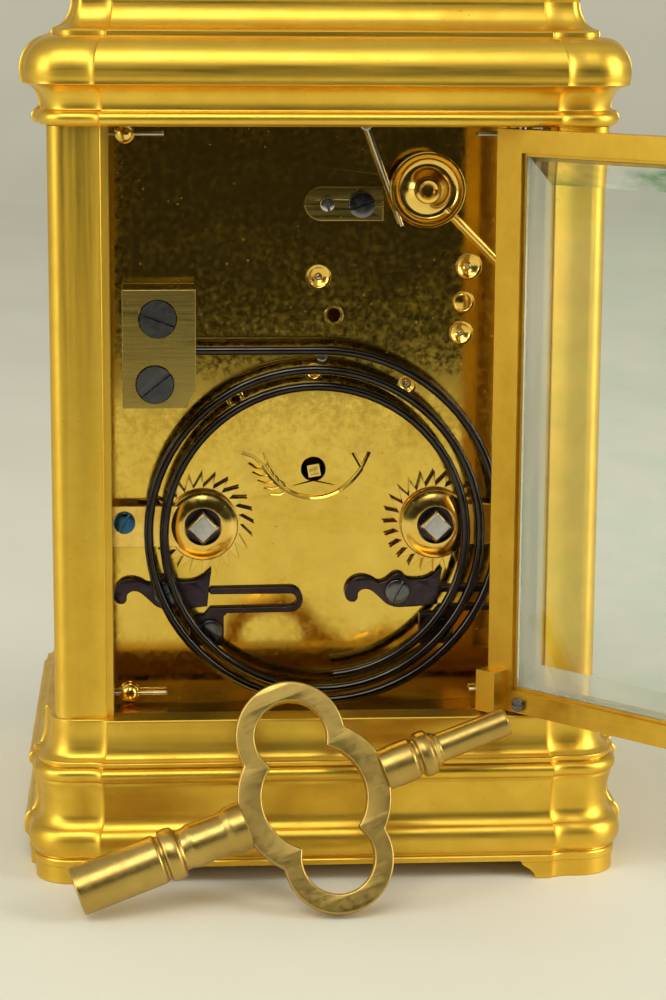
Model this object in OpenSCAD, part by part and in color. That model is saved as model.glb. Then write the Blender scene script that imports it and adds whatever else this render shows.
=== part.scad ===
// Striking carriage clock in a gorge case, rear door open, winding key leaning on the base.
// Frame: millimetres, Z up, the dial faces -Y and the rear door is on the +Y side.
// The origin is on the table, under the middle of the case.

/* [Case] */
// Half width of the case over the corner columns
case_hw = 42.7; // [42.4:0.1:43.5]
// Half depth of the case over the corner columns
case_hd = 36.5; // [36.3:0.1:37]
// Height of the top of the base above the table
base_top = 26; // [25.8:0.1:26.4]
// Height of the underside of the cornice above the table
cornice_bottom = 117.8; // [117.6:0.1:118.2]
// Height of the case over its flat top
case_h = 139.5; // [139:0.5:141]
// Side of the square that a corner column fills
column_w = 9.2; // [9:0.1:9.4]

/* [Rear door] */
// Angle that the rear door stands open from closed, in degrees
door_open = 133.5; // [90:0.5:140]
// Thickness of the rear door frame
door_t = 3; // [2.8:0.1:3.1]
// Height of the door rails
rail_h = 3.5; // [3.5:0.1:4.2]

/* [Movement] */
// Rear face of the back plate, measured back from the middle of the case
plate_y = 13.5; // [13.3:0.1:13.7]
// Thickness of the two movement plates
plate_t = 1.8; // [1.6:0.1:2]
// Number of ratchet teeth on a winding arbor
ratchet_teeth = 24; // [24:12:36]
// Height of the dial centre above the table
dial_z = 73; // [72:0.1:74]

/* [Gong] */
// Radius of the gong where its outer coil starts
gong_r = 29; // [28.6:0.1:29.1]
// Diameter of the gong wire
gong_wire = 1.5; // [1.3:0.1:1.6]

/* [Handle and key] */
// Height of the handle pivot above the table
handle_pivot_z = 144.5; // [144:0.1:145]
// Length of the handle arms from pivot to grip
handle_arm = 27; // [24:0.5:28]
// Tilt of the key's stem above the table, in degrees
key_tilt = 20.7; // [20:0.1:21.5]
// Lean of the key back towards the base, in degrees
key_lean = 23; // [22:0.1:24]

/* [Hidden] */
$fn = 64;

// Colours
gilt = "goldenrod";
movement_brass = "gold";
blued = "midnightblue";
steel = "silver";
crystal = [0.75, 0.9, 0.82, 0.35];

// Case sizes
breakfront = 1;                     // the flat of each side stands this far proud of the corners
foot_h = 3;
base_wall_x = 37;                   // half width of the opening in the base, between the side glasses
opening_x = case_hw - column_w;     // half width of the rear and front openings
opening_y = case_hd - column_w;     // half depth of the side openings
lip_y = case_hd - 3.1;              // inner face of the rear and front lips
floor_z = 22;
floor_t = 1.5;
glass_gap = 0.05;
boss_r = 4;                         // solid round each case screw in the base
screw_places = [for (sx = [-1, 1]) for (sy = [-1, 1]) [sx * (case_hw - 4.7), sy * (case_hd - 4.7)]];
side_glass_in = 37.4;
side_glass_out = 40.1;
front_glass_in = case_hd - 3;
front_glass_out = case_hd - 1.2;
groove = 1.4;                       // depth of the glass grooves in base and cornice
column_groove = 1.8;
rebate_w = 1.1;                     // step along each column's opening edge
rebate_d = 0.8;
top_glass_x = 27.4;
top_glass_y = 22.4;
top_glass_t = 2;
top_glass_z = case_h - 3.4;

// Rear door, measured closed and then turned about its pivot
door_gap = 0.4;
door_x0 = -opening_x + 0.6;
door_x1 = opening_x - 0.5;
door_z0 = base_top + door_gap;
door_z1 = cornice_bottom - door_gap;
door_y1 = case_hd - 0.1;
door_y0 = door_y1 - door_t;
door_pivot = [door_x0 + 3.6, door_y0 + 1.6];
hinge_stile = 4.7;
free_stile = 4.2;
lug = [3.7, 3, 6.6];
pin_r = 0.75;
pin_bore_r = 0.81;
pin_len = 3.3;

// Movement sizes
plate_hw = 34;
plate_z0 = floor_z;
plate_z1 = 118;
back_in = plate_y - plate_t;        // inner face of the back plate
front_out = -23;                    // front face of the front plate
front_in = front_out + plate_t;
pillar_x = 31.2;
pillar_z = [24, 115.5];
pillar_r = 1.95;
pillar_end_r = 1.55;

// Arbor places, [x, z] seen with the dial to the front
time_p = [19.1, 52.5];
strike_p = [-18.8, 52.5];
centre_p = [1, 61.2];
third_p = [1, 77.2];
contrate_p = [0.3, 92.6];
pin_p = [-14.2, 75];
locking_p = [-22.9, 83.5];
fly_p = [-24, 94.3];
hammer_p = [-16.6, 107];
dial_p = [0, dial_z];
transfer_n = 28;
transfer_d = 7;                     // pitch diameter of the three equal transfer wheels
transfer_half = norm(dial_p - centre_p) / 2;
transfer_dir = (dial_p - centre_p) / (2 * transfer_half);
transfer_off = sqrt(transfer_d * transfer_d - transfer_half * transfer_half);
transfer_p = centre_p + transfer_dir * transfer_half
    + [transfer_dir[1], -transfer_dir[0]] * transfer_off;
motion_m = 0.3;
minute_p = dial_p + [-20 * motion_m, 0];
hour_m = 6 / 20;

// Tooth counts
barrel_n = 80;
centre_pinion_n = 12;
centre_n = 80;
third_pinion_n = 10;
third_n = 75;
contrate_pinion_n = 10;
contrate_n = 70;
strike_n = 70;
pin_pinion_n = 20;
pin_n = 60;
locking_pinion_n = 10;
locking_n = 56;
fly_pinion_n = 7;
cannon_n = 10;
minute_n = 30;
minute_pinion_n = 8;
hour_n = 32;

arbor_r = 0.8;
pivot_r = 0.45;
pivot_bore_r = 0.5;
winding_r = 2.1;
winding_bore_r = 2.16;
square_w = 3.8;
square_end = plate_y + 6;
ratchet_r = 8.4;
ratchet_y = [plate_y + 0.3, plate_y + 1.7];
cock_y = [plate_y + 2, plate_y + 3.5];
cock_dome_h = 0.6;
cock_r = 5.7;
cock_hole_r = 2.8;
click_pivot_off = [6, -11.5];       // click pivot from its winding arbor
contrate_r = 14.2;
escape_pinion_n = 7;
escape_pinion_r = escape_pinion_n * contrate_r / contrate_n;
contrate_tip = -0.4;                // y of the tips of the contrate wheel's teeth
escape_p = [contrate_p[0], contrate_tip - 0.2 + escape_pinion_r];
lever_p = [escape_p[0] + 6.3, escape_p[1]];
balance_p = [escape_p[0] + 14.3, escape_p[1]];
balance_r = 7.4;
platform_z = plate_z1;
platform_t = 1.5;

// Gong
gong_p = [0, 52.4];
gong_y = plate_y + 5;
// What the radius loses before each quarter turn, so that the coils stand further apart at the top
gong_steps = [0, 0.1, 0.9, 1.2, -0.3, 1.3, 0.2, 1, 0.2, 0.9];
gong_quarters = len(gong_steps);
block_x = [20.2, 31.8];
block_z = [72.8, 91.6];
block_t = 9;

// Hammer
hammer_y = [plate_y + 4, plate_y + 6.2];
hammer_disc_r = 6;
hammer_elbow = [-31, 92.6];
hammer_head = [-30.7, 66];
hammer_head_r = 1.9;
hammer_rod_r = 0.6;
hammer_rod_y = gong_y;
hammer_cock_y = [plate_y, plate_y + 2.4];

// Key, drawn flat and then placed
key_centre = [2.9, 50.1, 16.95];
bow_t = 3;
bow_r = 11.8;

function dist(a, b) = norm(b - a);
function bearing(a, b) = atan2(b[1] - a[1], b[0] - a[0]);
function pitch_m(a, b, n1, n2) = 2 * dist(a, b) / (n1 + n2);

// Turn that puts a tooth gap of the second wheel on a tooth of the first, which is turned by ph
function mesh_turn(ph, n1, n2, phi) = phi + 180 + 180 / n2 - (ph - phi) * n1 / n2;

function arc(cx, cy, rx, ry, a0, a1, n) =
    [for (i = [0 : n]) let (a = a0 + (a1 - a0) * i / n) [cx + rx * cos(a), cy + ry * sin(a)]];

// ---------- shared shapes ----------

// Extrude an [x, z] drawing between two y values
module along_y(y0, y1) {
    translate([0, y1, 0])
        rotate([90, 0, 0])
            linear_extrude(y1 - y0)
                children();
}

module rod_y(p, y0, y1, r) {
    translate([p[0], y0, p[1]])
        rotate([-90, 0, 0])
            cylinder(h = y1 - y0, r = r);
}

module box(lo, hi) {
    translate(lo)
        cube(hi - lo);
}

function gear_points(n, rp, m, turn) = [
    for (i = [0 : n - 1])
        for (k = [[-0.23, -1.15], [-0.1, 0.7], [0.1, 0.7], [0.23, -1.15]])
            let (a = turn + (i + k[0]) * 360 / n, r = rp + k[1] * m)
                [r * cos(a), r * sin(a)]
];

// A spoked wheel, or a plain pinion when spokes is 0
module gear(p, n, m, turn, bore, spokes) {
    rp = n * m / 2;
    rim = rp - 1.15 * m - 1;
    hub = max(2, bore + 1);
    translate(p)
        difference() {
            polygon(gear_points(n, rp, m, turn));
            if (spokes > 0)
                difference() {
                    circle(r = rim);
                    circle(r = hub);
                    for (i = [0 : spokes - 1])
                        rotate(i * 360 / spokes)
                            translate([0, -0.6])
                                square([rim + 1, 1.2]);
                }
            if (bore > 0)
                circle(r = bore);
        }
}

// Arbor between the plates with a pivot at each end
module arbor(p, r) {
    rod_y(p, front_in + 0.15, back_in - 0.15, r);
    rod_y(p, front_out + 0.3, plate_y - 0.3, pivot_r);
}

// Outline of the case at one height, grown by e over the columns
function quarter_outline(w, d, e) =
    let (xc = w - 8.5 + 0.35 * e, yc = d - 8.5 + 0.35 * e, cav = 3.2, rc = 4 + 0.6 * e)
    concat(
        [for (i = [0 : 3]) let (a = i * 30)
            [w + e + breakfront * (1 - sin(a)), yc + cav * (1 - cos(a))]],
        arc(w + e - rc, d + e - rc, rc, rc, 0, 90, 6),
        [for (i = [3 : -1 : 0]) let (a = i * 30)
            [xc + cav * (1 - cos(a)), d + e + breakfront * (1 - sin(a))]]
    );

function case_outline(w, d, e) =
    let (q = quarter_outline(w, d, e), n = len(q) - 1)
    concat(
        q,
        [for (i = [n : -1 : 0]) [-q[i][0], q[i][1]]],
        [for (p = q) [-p[0], -p[1]]],
        [for (i = [n : -1 : 0]) [q[i][0], -q[i][1]]]
    );

// Solid moulding: the profile lists [growth, height] from the bottom up
module moulding(profile) {
    rows = [for (p = profile) case_outline(case_hw, case_hd, p[0])];
    n = len(rows[0]);
    m = len(rows);
    points = concat(
        [for (j = [0 : m - 1]) for (q = rows[j]) [q[0], q[1], profile[j][1]]],
        [[0, 0, profile[0][1]], [0, 0, profile[m - 1][1]]]
    );
    sides = [for (j = [0 : m - 2]) for (i = [0 : n - 1])
        let (a = j * n + i, b = j * n + (i + 1) % n)
            each [[a, b + n, b], [a, a + n, b + n]]];
    bottom = [for (i = [0 : n - 1]) [m * n, i, (i + 1) % n]];
    top = [for (i = [0 : n - 1]) [m * n + 1, (m - 1) * n + (i + 1) % n, (m - 1) * n + i]];
    polyhedron(points = points, faces = concat(sides, bottom, top));
}

base_profile = concat(
    [[3.6, foot_h], [3.6, 4], [3.2, 4.2]],
    arc(2.9, 6.7, 1.5, 2.4, -72, 72, 8),
    arc(4.4, 11.4, 2.05, 2.9, 236, 180, 4),
    arc(3.45, 11.4, 1.1, 5.2, 166, 115, 4),
    arc(2.55, 17.6, 0.95, 1.15, -68, 68, 6),
    [[2.35, 18.85], [2.7, 19], [2.7, 19.65], [2.1, 19.8]],
    arc(2.05, 24.2, 1.25, 4.25, 266, 184, 6),
    [[0.8, base_top]]
);

cornice_profile = concat(
    [[0.2, cornice_bottom]],
    arc(0.5, cornice_bottom + 1.15, 1, 1.1, -80, 80, 6),
    [[0.3, 120.2]],
    arc(2.9, 120.6, 2.6, 3.3, 176, 97, 7),
    [[2.9, 124.05]],
    arc(-1.2, 125.9, 4.4, 5.1, -18, 84, 10),
    [[-1.6, 131.1], [-1.6, 131.9]],
    arc(-1.6, 136.6, 3.1, 4.5, 268, 184, 6),
    [[-4.2, 137]],
    arc(-4.6, 138.1, 0.7, 0.9, -60, 60, 5),
    [[-5, case_h - 0.3], [-5.3, case_h]]
);

// ---------- case ----------

module glass_grooves(z0, z1) {
    for (s = [-1, 1])
        box([s * (side_glass_in + side_glass_out) / 2 - 1.4, -opening_y - column_groove, z0],
            [s * (side_glass_in + side_glass_out) / 2 + 1.4, opening_y + column_groove, z1]);
    box([-opening_x - column_groove, -front_glass_out - glass_gap, z0],
        [opening_x + column_groove, -front_glass_in + glass_gap, z1]);
}

// Four L-shaped feet, set in a little from the moulding above them
module foot_plan() {
    x1 = case_hw + 3.3;
    y1 = case_hd + 3.3;
    for (sx = [-1, 1])
        for (sy = [-1, 1])
            scale([sx, sy])
                polygon(concat(
                    [[31, 33], [31, y1]],
                    arc(x1 - 5.4, y1 - 5.4, 5.4, 5.4, 90, 0, 6),
                    [[x1, 25], [39, 25], [39, 33]]
                ));
}

module base_moulding() {
    color(gilt)
        difference() {
            union() {
                moulding(base_profile);
                linear_extrude(foot_h + 0.5)
                    foot_plan();
            }
            difference() {
                union() {
                    box([-39, -33, -1], [39, 33, floor_z - floor_t]);
                    box([-38, -32, 5], [38, 32, floor_z]);
                }
                for (p = screw_places)
                    translate([p[0], p[1], -2])
                        cylinder(h = floor_z + 3, r = boss_r);
            }
            box([-base_wall_x, -opening_y, 5], [base_wall_x, opening_y, base_top + 1]);
            box([-opening_x, -lip_y, floor_z], [opening_x, lip_y, base_top + 1]);
            glass_grooves(base_top - groove, base_top + 1);
            translate([door_pivot[0], door_pivot[1], base_top - 3])
                cylinder(h = 5, r = pin_r);
            for (p = screw_places)
                translate([p[0], p[1], -1])
                    cylinder(h = base_top + 2, r = 1.1);
            for (p = screw_places)
                translate([p[0], p[1], -1])
                    cylinder(h = 17, r = 2.3);
        }
}

module case_floor() {
    color(gilt)
        difference() {
            box([-37.9, -31.9, floor_z - floor_t], [37.9, 31.9, floor_z]);
            for (p = screw_places)
                translate([p[0], p[1], 0])
                    cylinder(h = floor_z + 1, r = boss_r + 0.1);
        }
}

module case_screws() {
    color(steel)
        for (p = screw_places)
            translate([p[0], p[1], 0]) {
                translate([0, 0, 14])
                    cylinder(h = 2, r = 2.1);
                translate([0, 0, 16])
                    cylinder(h = 17, r = 0.95);
            }
}

// Corner column drawn at its outer corner, which is the drawing's origin
module column_plan(front) {
    cut_r = 9;
    cut_d = 0.4;
    edge_r = 2.4;
    difference() {
        translate([-column_w, -column_w])
            square(column_w);
        difference() {
            translate([-edge_r, -edge_r])
                square(edge_r + 1);
            translate([-edge_r, -edge_r])
                circle(r = edge_r);
        }
        translate([-5.2, cut_r - cut_d])
            circle(r = cut_r);
        translate([cut_r - cut_d, -5.2])
            circle(r = cut_r);
        translate([-column_w - 1, -rebate_d])
            square([rebate_w + 1, rebate_d + 1]);
        translate([-rebate_d, -column_w - 1])
            square([rebate_d + 1, rebate_w + 1]);
        translate([side_glass_in - case_hw - glass_gap, -column_w - 1])
            square([side_glass_out - side_glass_in + 2 * glass_gap, column_groove + 1]);
        if (front)
            translate([-column_w - 1, front_glass_in - case_hd - glass_gap])
                square([column_groove + 1, front_glass_out - front_glass_in + 2 * glass_gap]);
        translate([-4.7, -4.7])
            circle(r = 1);
    }
}

module column(sx, sy) {
    color(gilt)
        translate([sx * case_hw, sy * case_hd, base_top])
            mirror([sx < 0 ? 1 : 0, 0, 0])
                mirror([0, sy < 0 ? 1 : 0, 0])
                    linear_extrude(cornice_bottom - base_top)
                        column_plan(sy < 0);
}

module column_front_left() {
    column(-1, -1);
}

module column_front_right() {
    column(1, -1);
}

module column_rear_left() {
    column(-1, 1);
}

module column_rear_right() {
    column(1, 1);
}

module cornice() {
    color(gilt)
        difference() {
            moulding(cornice_profile);
            box([-base_wall_x, -opening_y, cornice_bottom - 1], [base_wall_x, opening_y, 122]);
            box([-opening_x, -lip_y, cornice_bottom - 1], [opening_x, lip_y, 122]);
            box([-34, -28, cornice_bottom], [34, 28, top_glass_z - 1]);
            box([-top_glass_x - 0.1, -top_glass_y - 0.1, top_glass_z - 2],
                [top_glass_x + 0.1, top_glass_y + 0.1, top_glass_z + top_glass_t]);
            box([-25.5, -20.5, top_glass_z], [25.5, 20.5, case_h + 1]);
            glass_grooves(cornice_bottom - 1, cornice_bottom + groove);
            translate([door_pivot[0], door_pivot[1], cornice_bottom - 2])
                cylinder(h = 5, r = pin_r);
            translate([0, -case_hd - 8, 127])
                rotate([-90, 0, 0])
                    cylinder(h = 20, r = 1.35);
        }
}

module top_glass() {
    color(crystal) {
        box([-top_glass_x, -top_glass_y, top_glass_z], [top_glass_x, top_glass_y, top_glass_z + 1.2]);
        box([-top_glass_x + 3, -top_glass_y + 3, top_glass_z + 1.1],
            [top_glass_x - 3, top_glass_y - 3, top_glass_z + top_glass_t]);
    }
}

// Glass pane with bevelled edges on its outer face, drawn in [width, height], thickness along +Y
module bevelled_pane(w, h, t, bevel) {
    hull() {
        translate([-w / 2, 0, 0])
            cube([w, t * 0.6, h]);
        translate([-w / 2 + bevel, 0, bevel])
            cube([w - 2 * bevel, t, h - 2 * bevel]);
    }
}

module side_glasses() {
    depth = 2 * (opening_y + column_groove) - 0.2;
    h = cornice_bottom - base_top + 2 * groove - 0.2;
    color(crystal)
        for (s = [-1, 1])
            translate([s * side_glass_in, 0, base_top - groove + 0.1])
                rotate([0, 0, -90 * s])
                    bevelled_pane(depth, h, side_glass_out - side_glass_in - 0.05, 3);
}

module front_glass() {
    w = 2 * (opening_x + column_groove) - 0.2;
    h = cornice_bottom - base_top + 2 * groove - 0.2;
    color(crystal)
        translate([0, -front_glass_in, base_top - groove + 0.1])
            rotate([0, 0, 180])
                bevelled_pane(w, h, front_glass_out - front_glass_in, 3);
}

// ---------- handle ----------

post_x = 34.6;
eye_x = 31.4;

module handle_posts() {
    color(gilt)
        for (s = [-1, 1])
            difference() {
                union() {
                    translate([s * post_x, 0, case_h])
                        cylinder(h = 1.2, r = 3);
                    box([s * post_x - 1.3, -2.4, case_h + 1], [s * post_x + 1.3, 2.4, handle_pivot_z]);
                    translate([s * post_x - 1.3, 0, handle_pivot_z])
                        rotate([0, 90, 0])
                            cylinder(h = 2.6, r = 2.4);
                }
                translate([s * post_x - 3, 0, handle_pivot_z])
                    rotate([0, 90, 0])
                        cylinder(h = 6, r = 1.06);
            }
}

module handle() {
    grip_z = handle_pivot_z + handle_arm;
    color(gilt) {
        for (s = [-1, 1]) {
            translate([s * eye_x, 0, handle_pivot_z])
                rotate([0, 90, 0])
                    translate([0, 0, -1.5])
                        cylinder(h = 3, r = 2.4);
            translate([s > 0 ? eye_x : -post_x - 1.6, 0, handle_pivot_z])
                rotate([0, 90, 0])
                    cylinder(h = post_x - eye_x + 1.6, r = 1);
            translate([s * eye_x, 0, handle_pivot_z])
                rotate_extrude()
                    polygon(concat(
                        [[0, 1.6], [1.3, 1.6], [1.3, 3]],
                        arc(1.3, 4.2, 0.9, 1, -90, 90, 6),
                        [[1.2, 6], [1.6, handle_arm * 0.45], [1.2, handle_arm - 7]],
                        arc(1.2, handle_arm - 5, 1.2, 1, -90, 90, 6),
                        [[1.4, handle_arm - 3], [1.9, handle_arm - 1], [1.9, handle_arm + 1], [0, handle_arm + 2.2]]
                    ));
        }
        translate([-eye_x, 0, grip_z])
            rotate([0, 90, 0])
                rotate_extrude()
                    polygon(concat(
                        [[0, 0], [1.6, 0], [1.6, 3]],
                        arc(1.7, 4.6, 1, 1, -90, 90, 6),
                        [[1.5, 6.6], [2.4, 14], [2.7, eye_x], [2.4, 2 * eye_x - 14], [1.5, 2 * eye_x - 6.6]],
                        arc(1.7, 2 * eye_x - 4.6, 1, 1, -90, 90, 6),
                        [[1.6, 2 * eye_x - 3], [1.6, 2 * eye_x], [0, 2 * eye_x]]
                    ));
    }
}

// ---------- rear door ----------

module at_door() {
    translate([door_pivot[0], door_pivot[1], 0])
        rotate([0, 0, door_open])
            translate([-door_pivot[0], -door_pivot[1], 0])
                children();
}

pane_x0 = door_x0 + hinge_stile + 1.3;
pane_x1 = door_x1 - free_stile - 1.3;
pane_z0 = door_z0 + rail_h + 1.3;
pane_z1 = door_z1 - rail_h - 1.3;
pane_y = [door_y0 + 0.9, door_y0 + 2.5];

module door_frame() {
    color(gilt)
        at_door()
            difference() {
                union() {
                    box([door_x0, door_y0, door_z0], [door_x1, door_y1, door_z1]);
                    box([door_x0, door_y0 - lug[1], door_z0], [door_x0 + lug[0], door_y0 + 0.5, door_z0 + lug[2]]);
                }
                box([pane_x0, door_y0 - 1, pane_z0], [pane_x1, door_y1 + 1, pane_z1]);
                box([pane_x0 - 1.3, door_y0 - 1, pane_z0 - 1.3], [pane_x1 + 1.3, pane_y[0] - 0.2, pane_z1 + 1.3]);
                box([pane_x0 - 0.8, pane_y[0] - 0.3, pane_z0 - 0.8], [pane_x1 + 0.8, pane_y[1], pane_z1 + 0.8]);
                for (z = [door_z0 - 1, door_z1 - pin_len])
                    translate([door_pivot[0], door_pivot[1], z])
                        cylinder(h = pin_len + 1, r = pin_bore_r);
                rod_y([door_screw_x, door_screw_z], door_y0 - 1, door_y0 + 2.2, 0.62);
                rod_y([knob_x, knob_z], door_y1 - 2, door_y1 + 1, 0.9);
            }
}

module door_glass() {
    color(crystal)
        at_door()
            translate([(pane_x0 + pane_x1) / 2, pane_y[0] - 0.15, pane_z0 - 0.7])
                bevelled_pane(pane_x1 - pane_x0 + 1.4, pane_z1 - pane_z0 + 1.4, pane_y[1] - pane_y[0] + 0.05, 4);
}

door_screw_x = door_pivot[0] + 2.8;
door_screw_z = door_z0 + 1.5;
knob_x = door_x1 - free_stile / 2;
knob_z = (door_z0 + door_z1) / 2;

module door_screw() {
    color(steel)
        at_door() {
            difference() {
                rod_y([door_screw_x, door_screw_z], door_y0 - 0.7, door_y0, 1.15);
                box([door_screw_x - 2, door_y0 - 1, door_screw_z - 0.15], [door_screw_x + 2, door_y0 - 0.4, door_screw_z + 0.15]);
            }
            rod_y([door_screw_x, door_screw_z], door_y0 - 0.1, door_y0 + 2, 0.55);
        }
}

module door_knob() {
    color(gilt)
        at_door()
            translate([knob_x, door_y1, knob_z])
                rotate([-90, 0, 0])
                    rotate_extrude()
                        polygon(concat(
                            [[0, -1.8], [0.8, -1.8], [0.8, 0], [1.9, 0], [1.9, 0.6], [1, 1], [0.9, 2]],
                            arc(0.9, 3.3, 1.4, 1.2, -90, 90, 8),
                            [[0, 4.5]]
                        ));
}

module door_pins() {
    color(steel) {
        translate([door_pivot[0], door_pivot[1], base_top - 3])
            cylinder(h = 3 + door_gap + pin_len - 1, r = pin_r);
        translate([door_pivot[0], door_pivot[1], cornice_bottom - door_gap - pin_len + 1])
            cylinder(h = door_gap + pin_len + 2, r = pin_r);
    }
}

// ---------- dial ----------

dial_front = -30.9;
dial_t = 1.2;
dial_r = 25.6;

module dial() {
    color("ivory")
        along_y(dial_front, dial_front + dial_t)
            difference() {
                translate(dial_p)
                    circle(r = dial_r);
                translate(dial_p)
                    circle(r = 2.4);
            }
}

module dial_mask() {
    color(gilt) {
        along_y(dial_front - 0.8, dial_front)
            difference() {
                translate([-33.1, plate_z0 + 0.2])
                    square([66.2, 96]);
                translate(dial_p)
                    circle(r = dial_r - 1.2);
            }
        along_y(dial_front - 1.5, dial_front - 0.8)
            difference() {
                translate(dial_p)
                    circle(r = dial_r + 0.6);
                translate(dial_p)
                    circle(r = dial_r - 1.2);
            }
        for (x = [-29.5, 29.5])
            for (z = [33, 111])
                rod_y([x, z], dial_front, front_out, 1.1);
    }
}

// ---------- plates ----------

train_places = [centre_p, third_p, contrate_p, pin_p, locking_p, fly_p];

module plate_outline() {
    translate([-plate_hw, plate_z0])
        square([2 * plate_hw, plate_z1 - plate_z0]);
}

module plate_holes() {
    for (p = train_places)
        translate(p)
            circle(r = pivot_bore_r);
    for (p = [time_p, strike_p])
        translate(p)
            circle(r = winding_bore_r);
    for (x = [-pillar_x, pillar_x])
        for (z = pillar_z)
            translate([x, z])
                circle(r = pillar_end_r);
}

function click_p(w) = w + click_pivot_off;
click_screw_r = 0.7;

module oil_sink(p, r) {
    translate([p[0], plate_y + 0.01, p[1]])
        rotate([90, 0, 0])
            rotate_extrude()
                polygon([[0, -0.5], [r, -0.5], [r, 0], [pivot_bore_r, 0.8], [0, 0.8]]);
}

module back_plate() {
    color(movement_brass)
        difference() {
            along_y(back_in, plate_y)
                difference() {
                    plate_outline();
                    plate_holes();
                    translate(centre_p)
                        circle(r = 2);
                    translate(hammer_p)
                        circle(r = 1.15);
                }
            for (p = [third_p, contrate_p, pin_p, locking_p, fly_p])
                oil_sink(p, 2);
        }
}

module front_plate() {
    color(movement_brass) {
        along_y(front_out, front_in)
            difference() {
                plate_outline();
                plate_holes();
                for (p = [dial_p, minute_p, transfer_p])
                    translate(p)
                        circle(r = 0.5);
            }
        for (p = [minute_p, transfer_p])
            rod_y(p, -28.3, front_in, 0.5);
        rod_y(dial_p, -33.2, front_in, 0.5);
    }
}

module movement_pillars() {
    color(movement_brass)
        for (x = [-pillar_x, pillar_x])
            for (z = pillar_z) {
                rod_y([x, z], front_in, back_in, pillar_r);
                difference() {
                    rod_y([x, z], back_in - 0.2, plate_y + 2, pillar_end_r);
                    translate([x - 5, plate_y + 1.1, z])
                        rotate([0, 90, 0])
                            cylinder(h = 10, r = 0.4);
                }
                rod_y([x, z], front_out - 1, front_in + 0.2, pillar_end_r);
            }
}

module taper_pins() {
    color(steel)
        for (x = [-pillar_x, pillar_x])
            for (z = pillar_z)
                translate([x - (x > 0 ? 6.2 : 2.6), plate_y + 1.1, z])
                    rotate([0, 90, 0])
                        cylinder(h = 8.8, r1 = 0.38, r2 = 0.3);
}

// ---------- gong ----------

module gong_block() {
    color(movement_brass)
        difference() {
            along_y(plate_y, plate_y + block_t)
                polygon([
                    [block_x[0], block_z[1]], [block_x[1], block_z[1]], [block_x[1], block_z[0]],
                    [block_x[0] + 1.6, block_z[0]], [block_x[0], block_z[0] + 2.6]
                ]);
            for (p = gong_screw_places) {
                rod_y(p, plate_y + block_t - 0.9, plate_y + block_t + 1, 3);
                rod_y(p, plate_y - 1, plate_y + block_t + 1, 1.2);
            }
            translate([block_x[0] - 1, gong_y, gong_p[1] + gong_r])
                rotate([0, 90, 0])
                    cylinder(h = 8, r = gong_wire / 2);
        }
}

gong_screw_places = [[26.2, 87], [26.7, 76.6]];

module gong_screws() {
    turns = [-20, 38];
    color(steel)
        for (i = [0, 1])
            translate([gong_screw_places[i][0], plate_y + block_t - 0.9, gong_screw_places[i][1]])
                rotate([0, turns[i], 0])
                    rotate([-90, 0, 0])
                        difference() {
                            union() {
                                cylinder(h = 1.5, r = 2.9);
                                translate([0, 0, -block_t + 0.9])
                                    cylinder(h = block_t, r = 1.15);
                            }
                            translate([-4, -0.35, 0.8])
                                cube([8, 0.7, 1]);
                        }
}

// Each quarter turn is an arc, and its centre moves so that the arcs join smoothly
function quarter_dir(k) = [cos(90 + 90 * k), sin(90 + 90 * k)];
function quarter_centre(k) = k == 0 ? gong_p
    : quarter_centre(k - 1) + gong_steps[k] * quarter_dir(k);
function quarter_r(k) = k == 0 ? gong_r : quarter_r(k - 1) - gong_steps[k];

module gong() {
    color(blued)
        translate([0, gong_y, 0])
            rotate([90, 0, 0]) {
                for (k = [0 : gong_quarters - 1])
                    translate([quarter_centre(k)[0], quarter_centre(k)[1], 0])
                        rotate([0, 0, 90 + 90 * k])
                            rotate_extrude(angle = 90)
                                translate([quarter_r(k), 0])
                                    circle(r = gong_wire / 2);
                translate([0, gong_p[1] + gong_r, 0])
                    rotate([0, 90, 0])
                        cylinder(h = block_x[0] + 6.5, r = gong_wire / 2);
            }
}

// ---------- winding work ----------

module winding_cock(w, s, bar_to) {
    color(movement_brass)
        difference() {
            union() {
                rod_y(w, cock_y[0], cock_y[1], cock_r);
                rod_y(w, cock_y[1], cock_y[1] + cock_dome_h, cock_r - 1.6);
                box([min(w[0], bar_to), cock_y[0], w[1] - 3.4], [max(w[0], bar_to), cock_y[1], w[1] + 3.4]);
                box([min(bar_to, bar_to - s * 4.3), plate_y, w[1] - 3.4],
                    [max(bar_to, bar_to - s * 4.3), cock_y[0] + 0.1, w[1] + 3.4]);
            }
            rod_y(w, plate_y, square_end, cock_hole_r);
            rod_y([bar_to - s * 2.1, w[1] + 0.7], plate_y - 1, square_end, 0.9);
        }
}

module time_winding_cock() {
    winding_cock(time_p, 1, 33.9);
}

module strike_winding_cock() {
    winding_cock(strike_p, -1, -33.6);
}

module ratchet_2d() {
    a = 360 / ratchet_teeth;
    polygon([for (i = [0 : ratchet_teeth - 1])
        each [
            [ratchet_r * cos(i * a), ratchet_r * sin(i * a)],
            [(ratchet_r - 1.7) * cos(i * a + 0.8), (ratchet_r - 1.7) * sin(i * a + 0.8)]
        ]]);
}

module winding_arbor(p, barrel_front, barrel_back) {
    color(movement_brass)
        along_y(ratchet_y[0], ratchet_y[1])
            translate(p)
                ratchet_2d();
    color(steel) {
        rod_y(p, front_out + 0.3, ratchet_y[1] + 0.2, winding_r);
        rod_y(p, barrel_front + 1.6, barrel_back - 1.6, 4.4);
        translate([p[0], 0, p[1]])
            rotate([0, 45, 0])
                box([-square_w / 2, ratchet_y[0], -square_w / 2], [square_w / 2, square_end, square_w / 2]);
    }
}

time_barrel_y = [-11, 7];
strike_barrel_y = [-17.5, 1.5];
barrel_r = 16.2;
wheel_t = 1.3;

module time_winding_arbor() {
    winding_arbor(time_p, time_barrel_y[0], time_barrel_y[1]);
}

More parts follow.
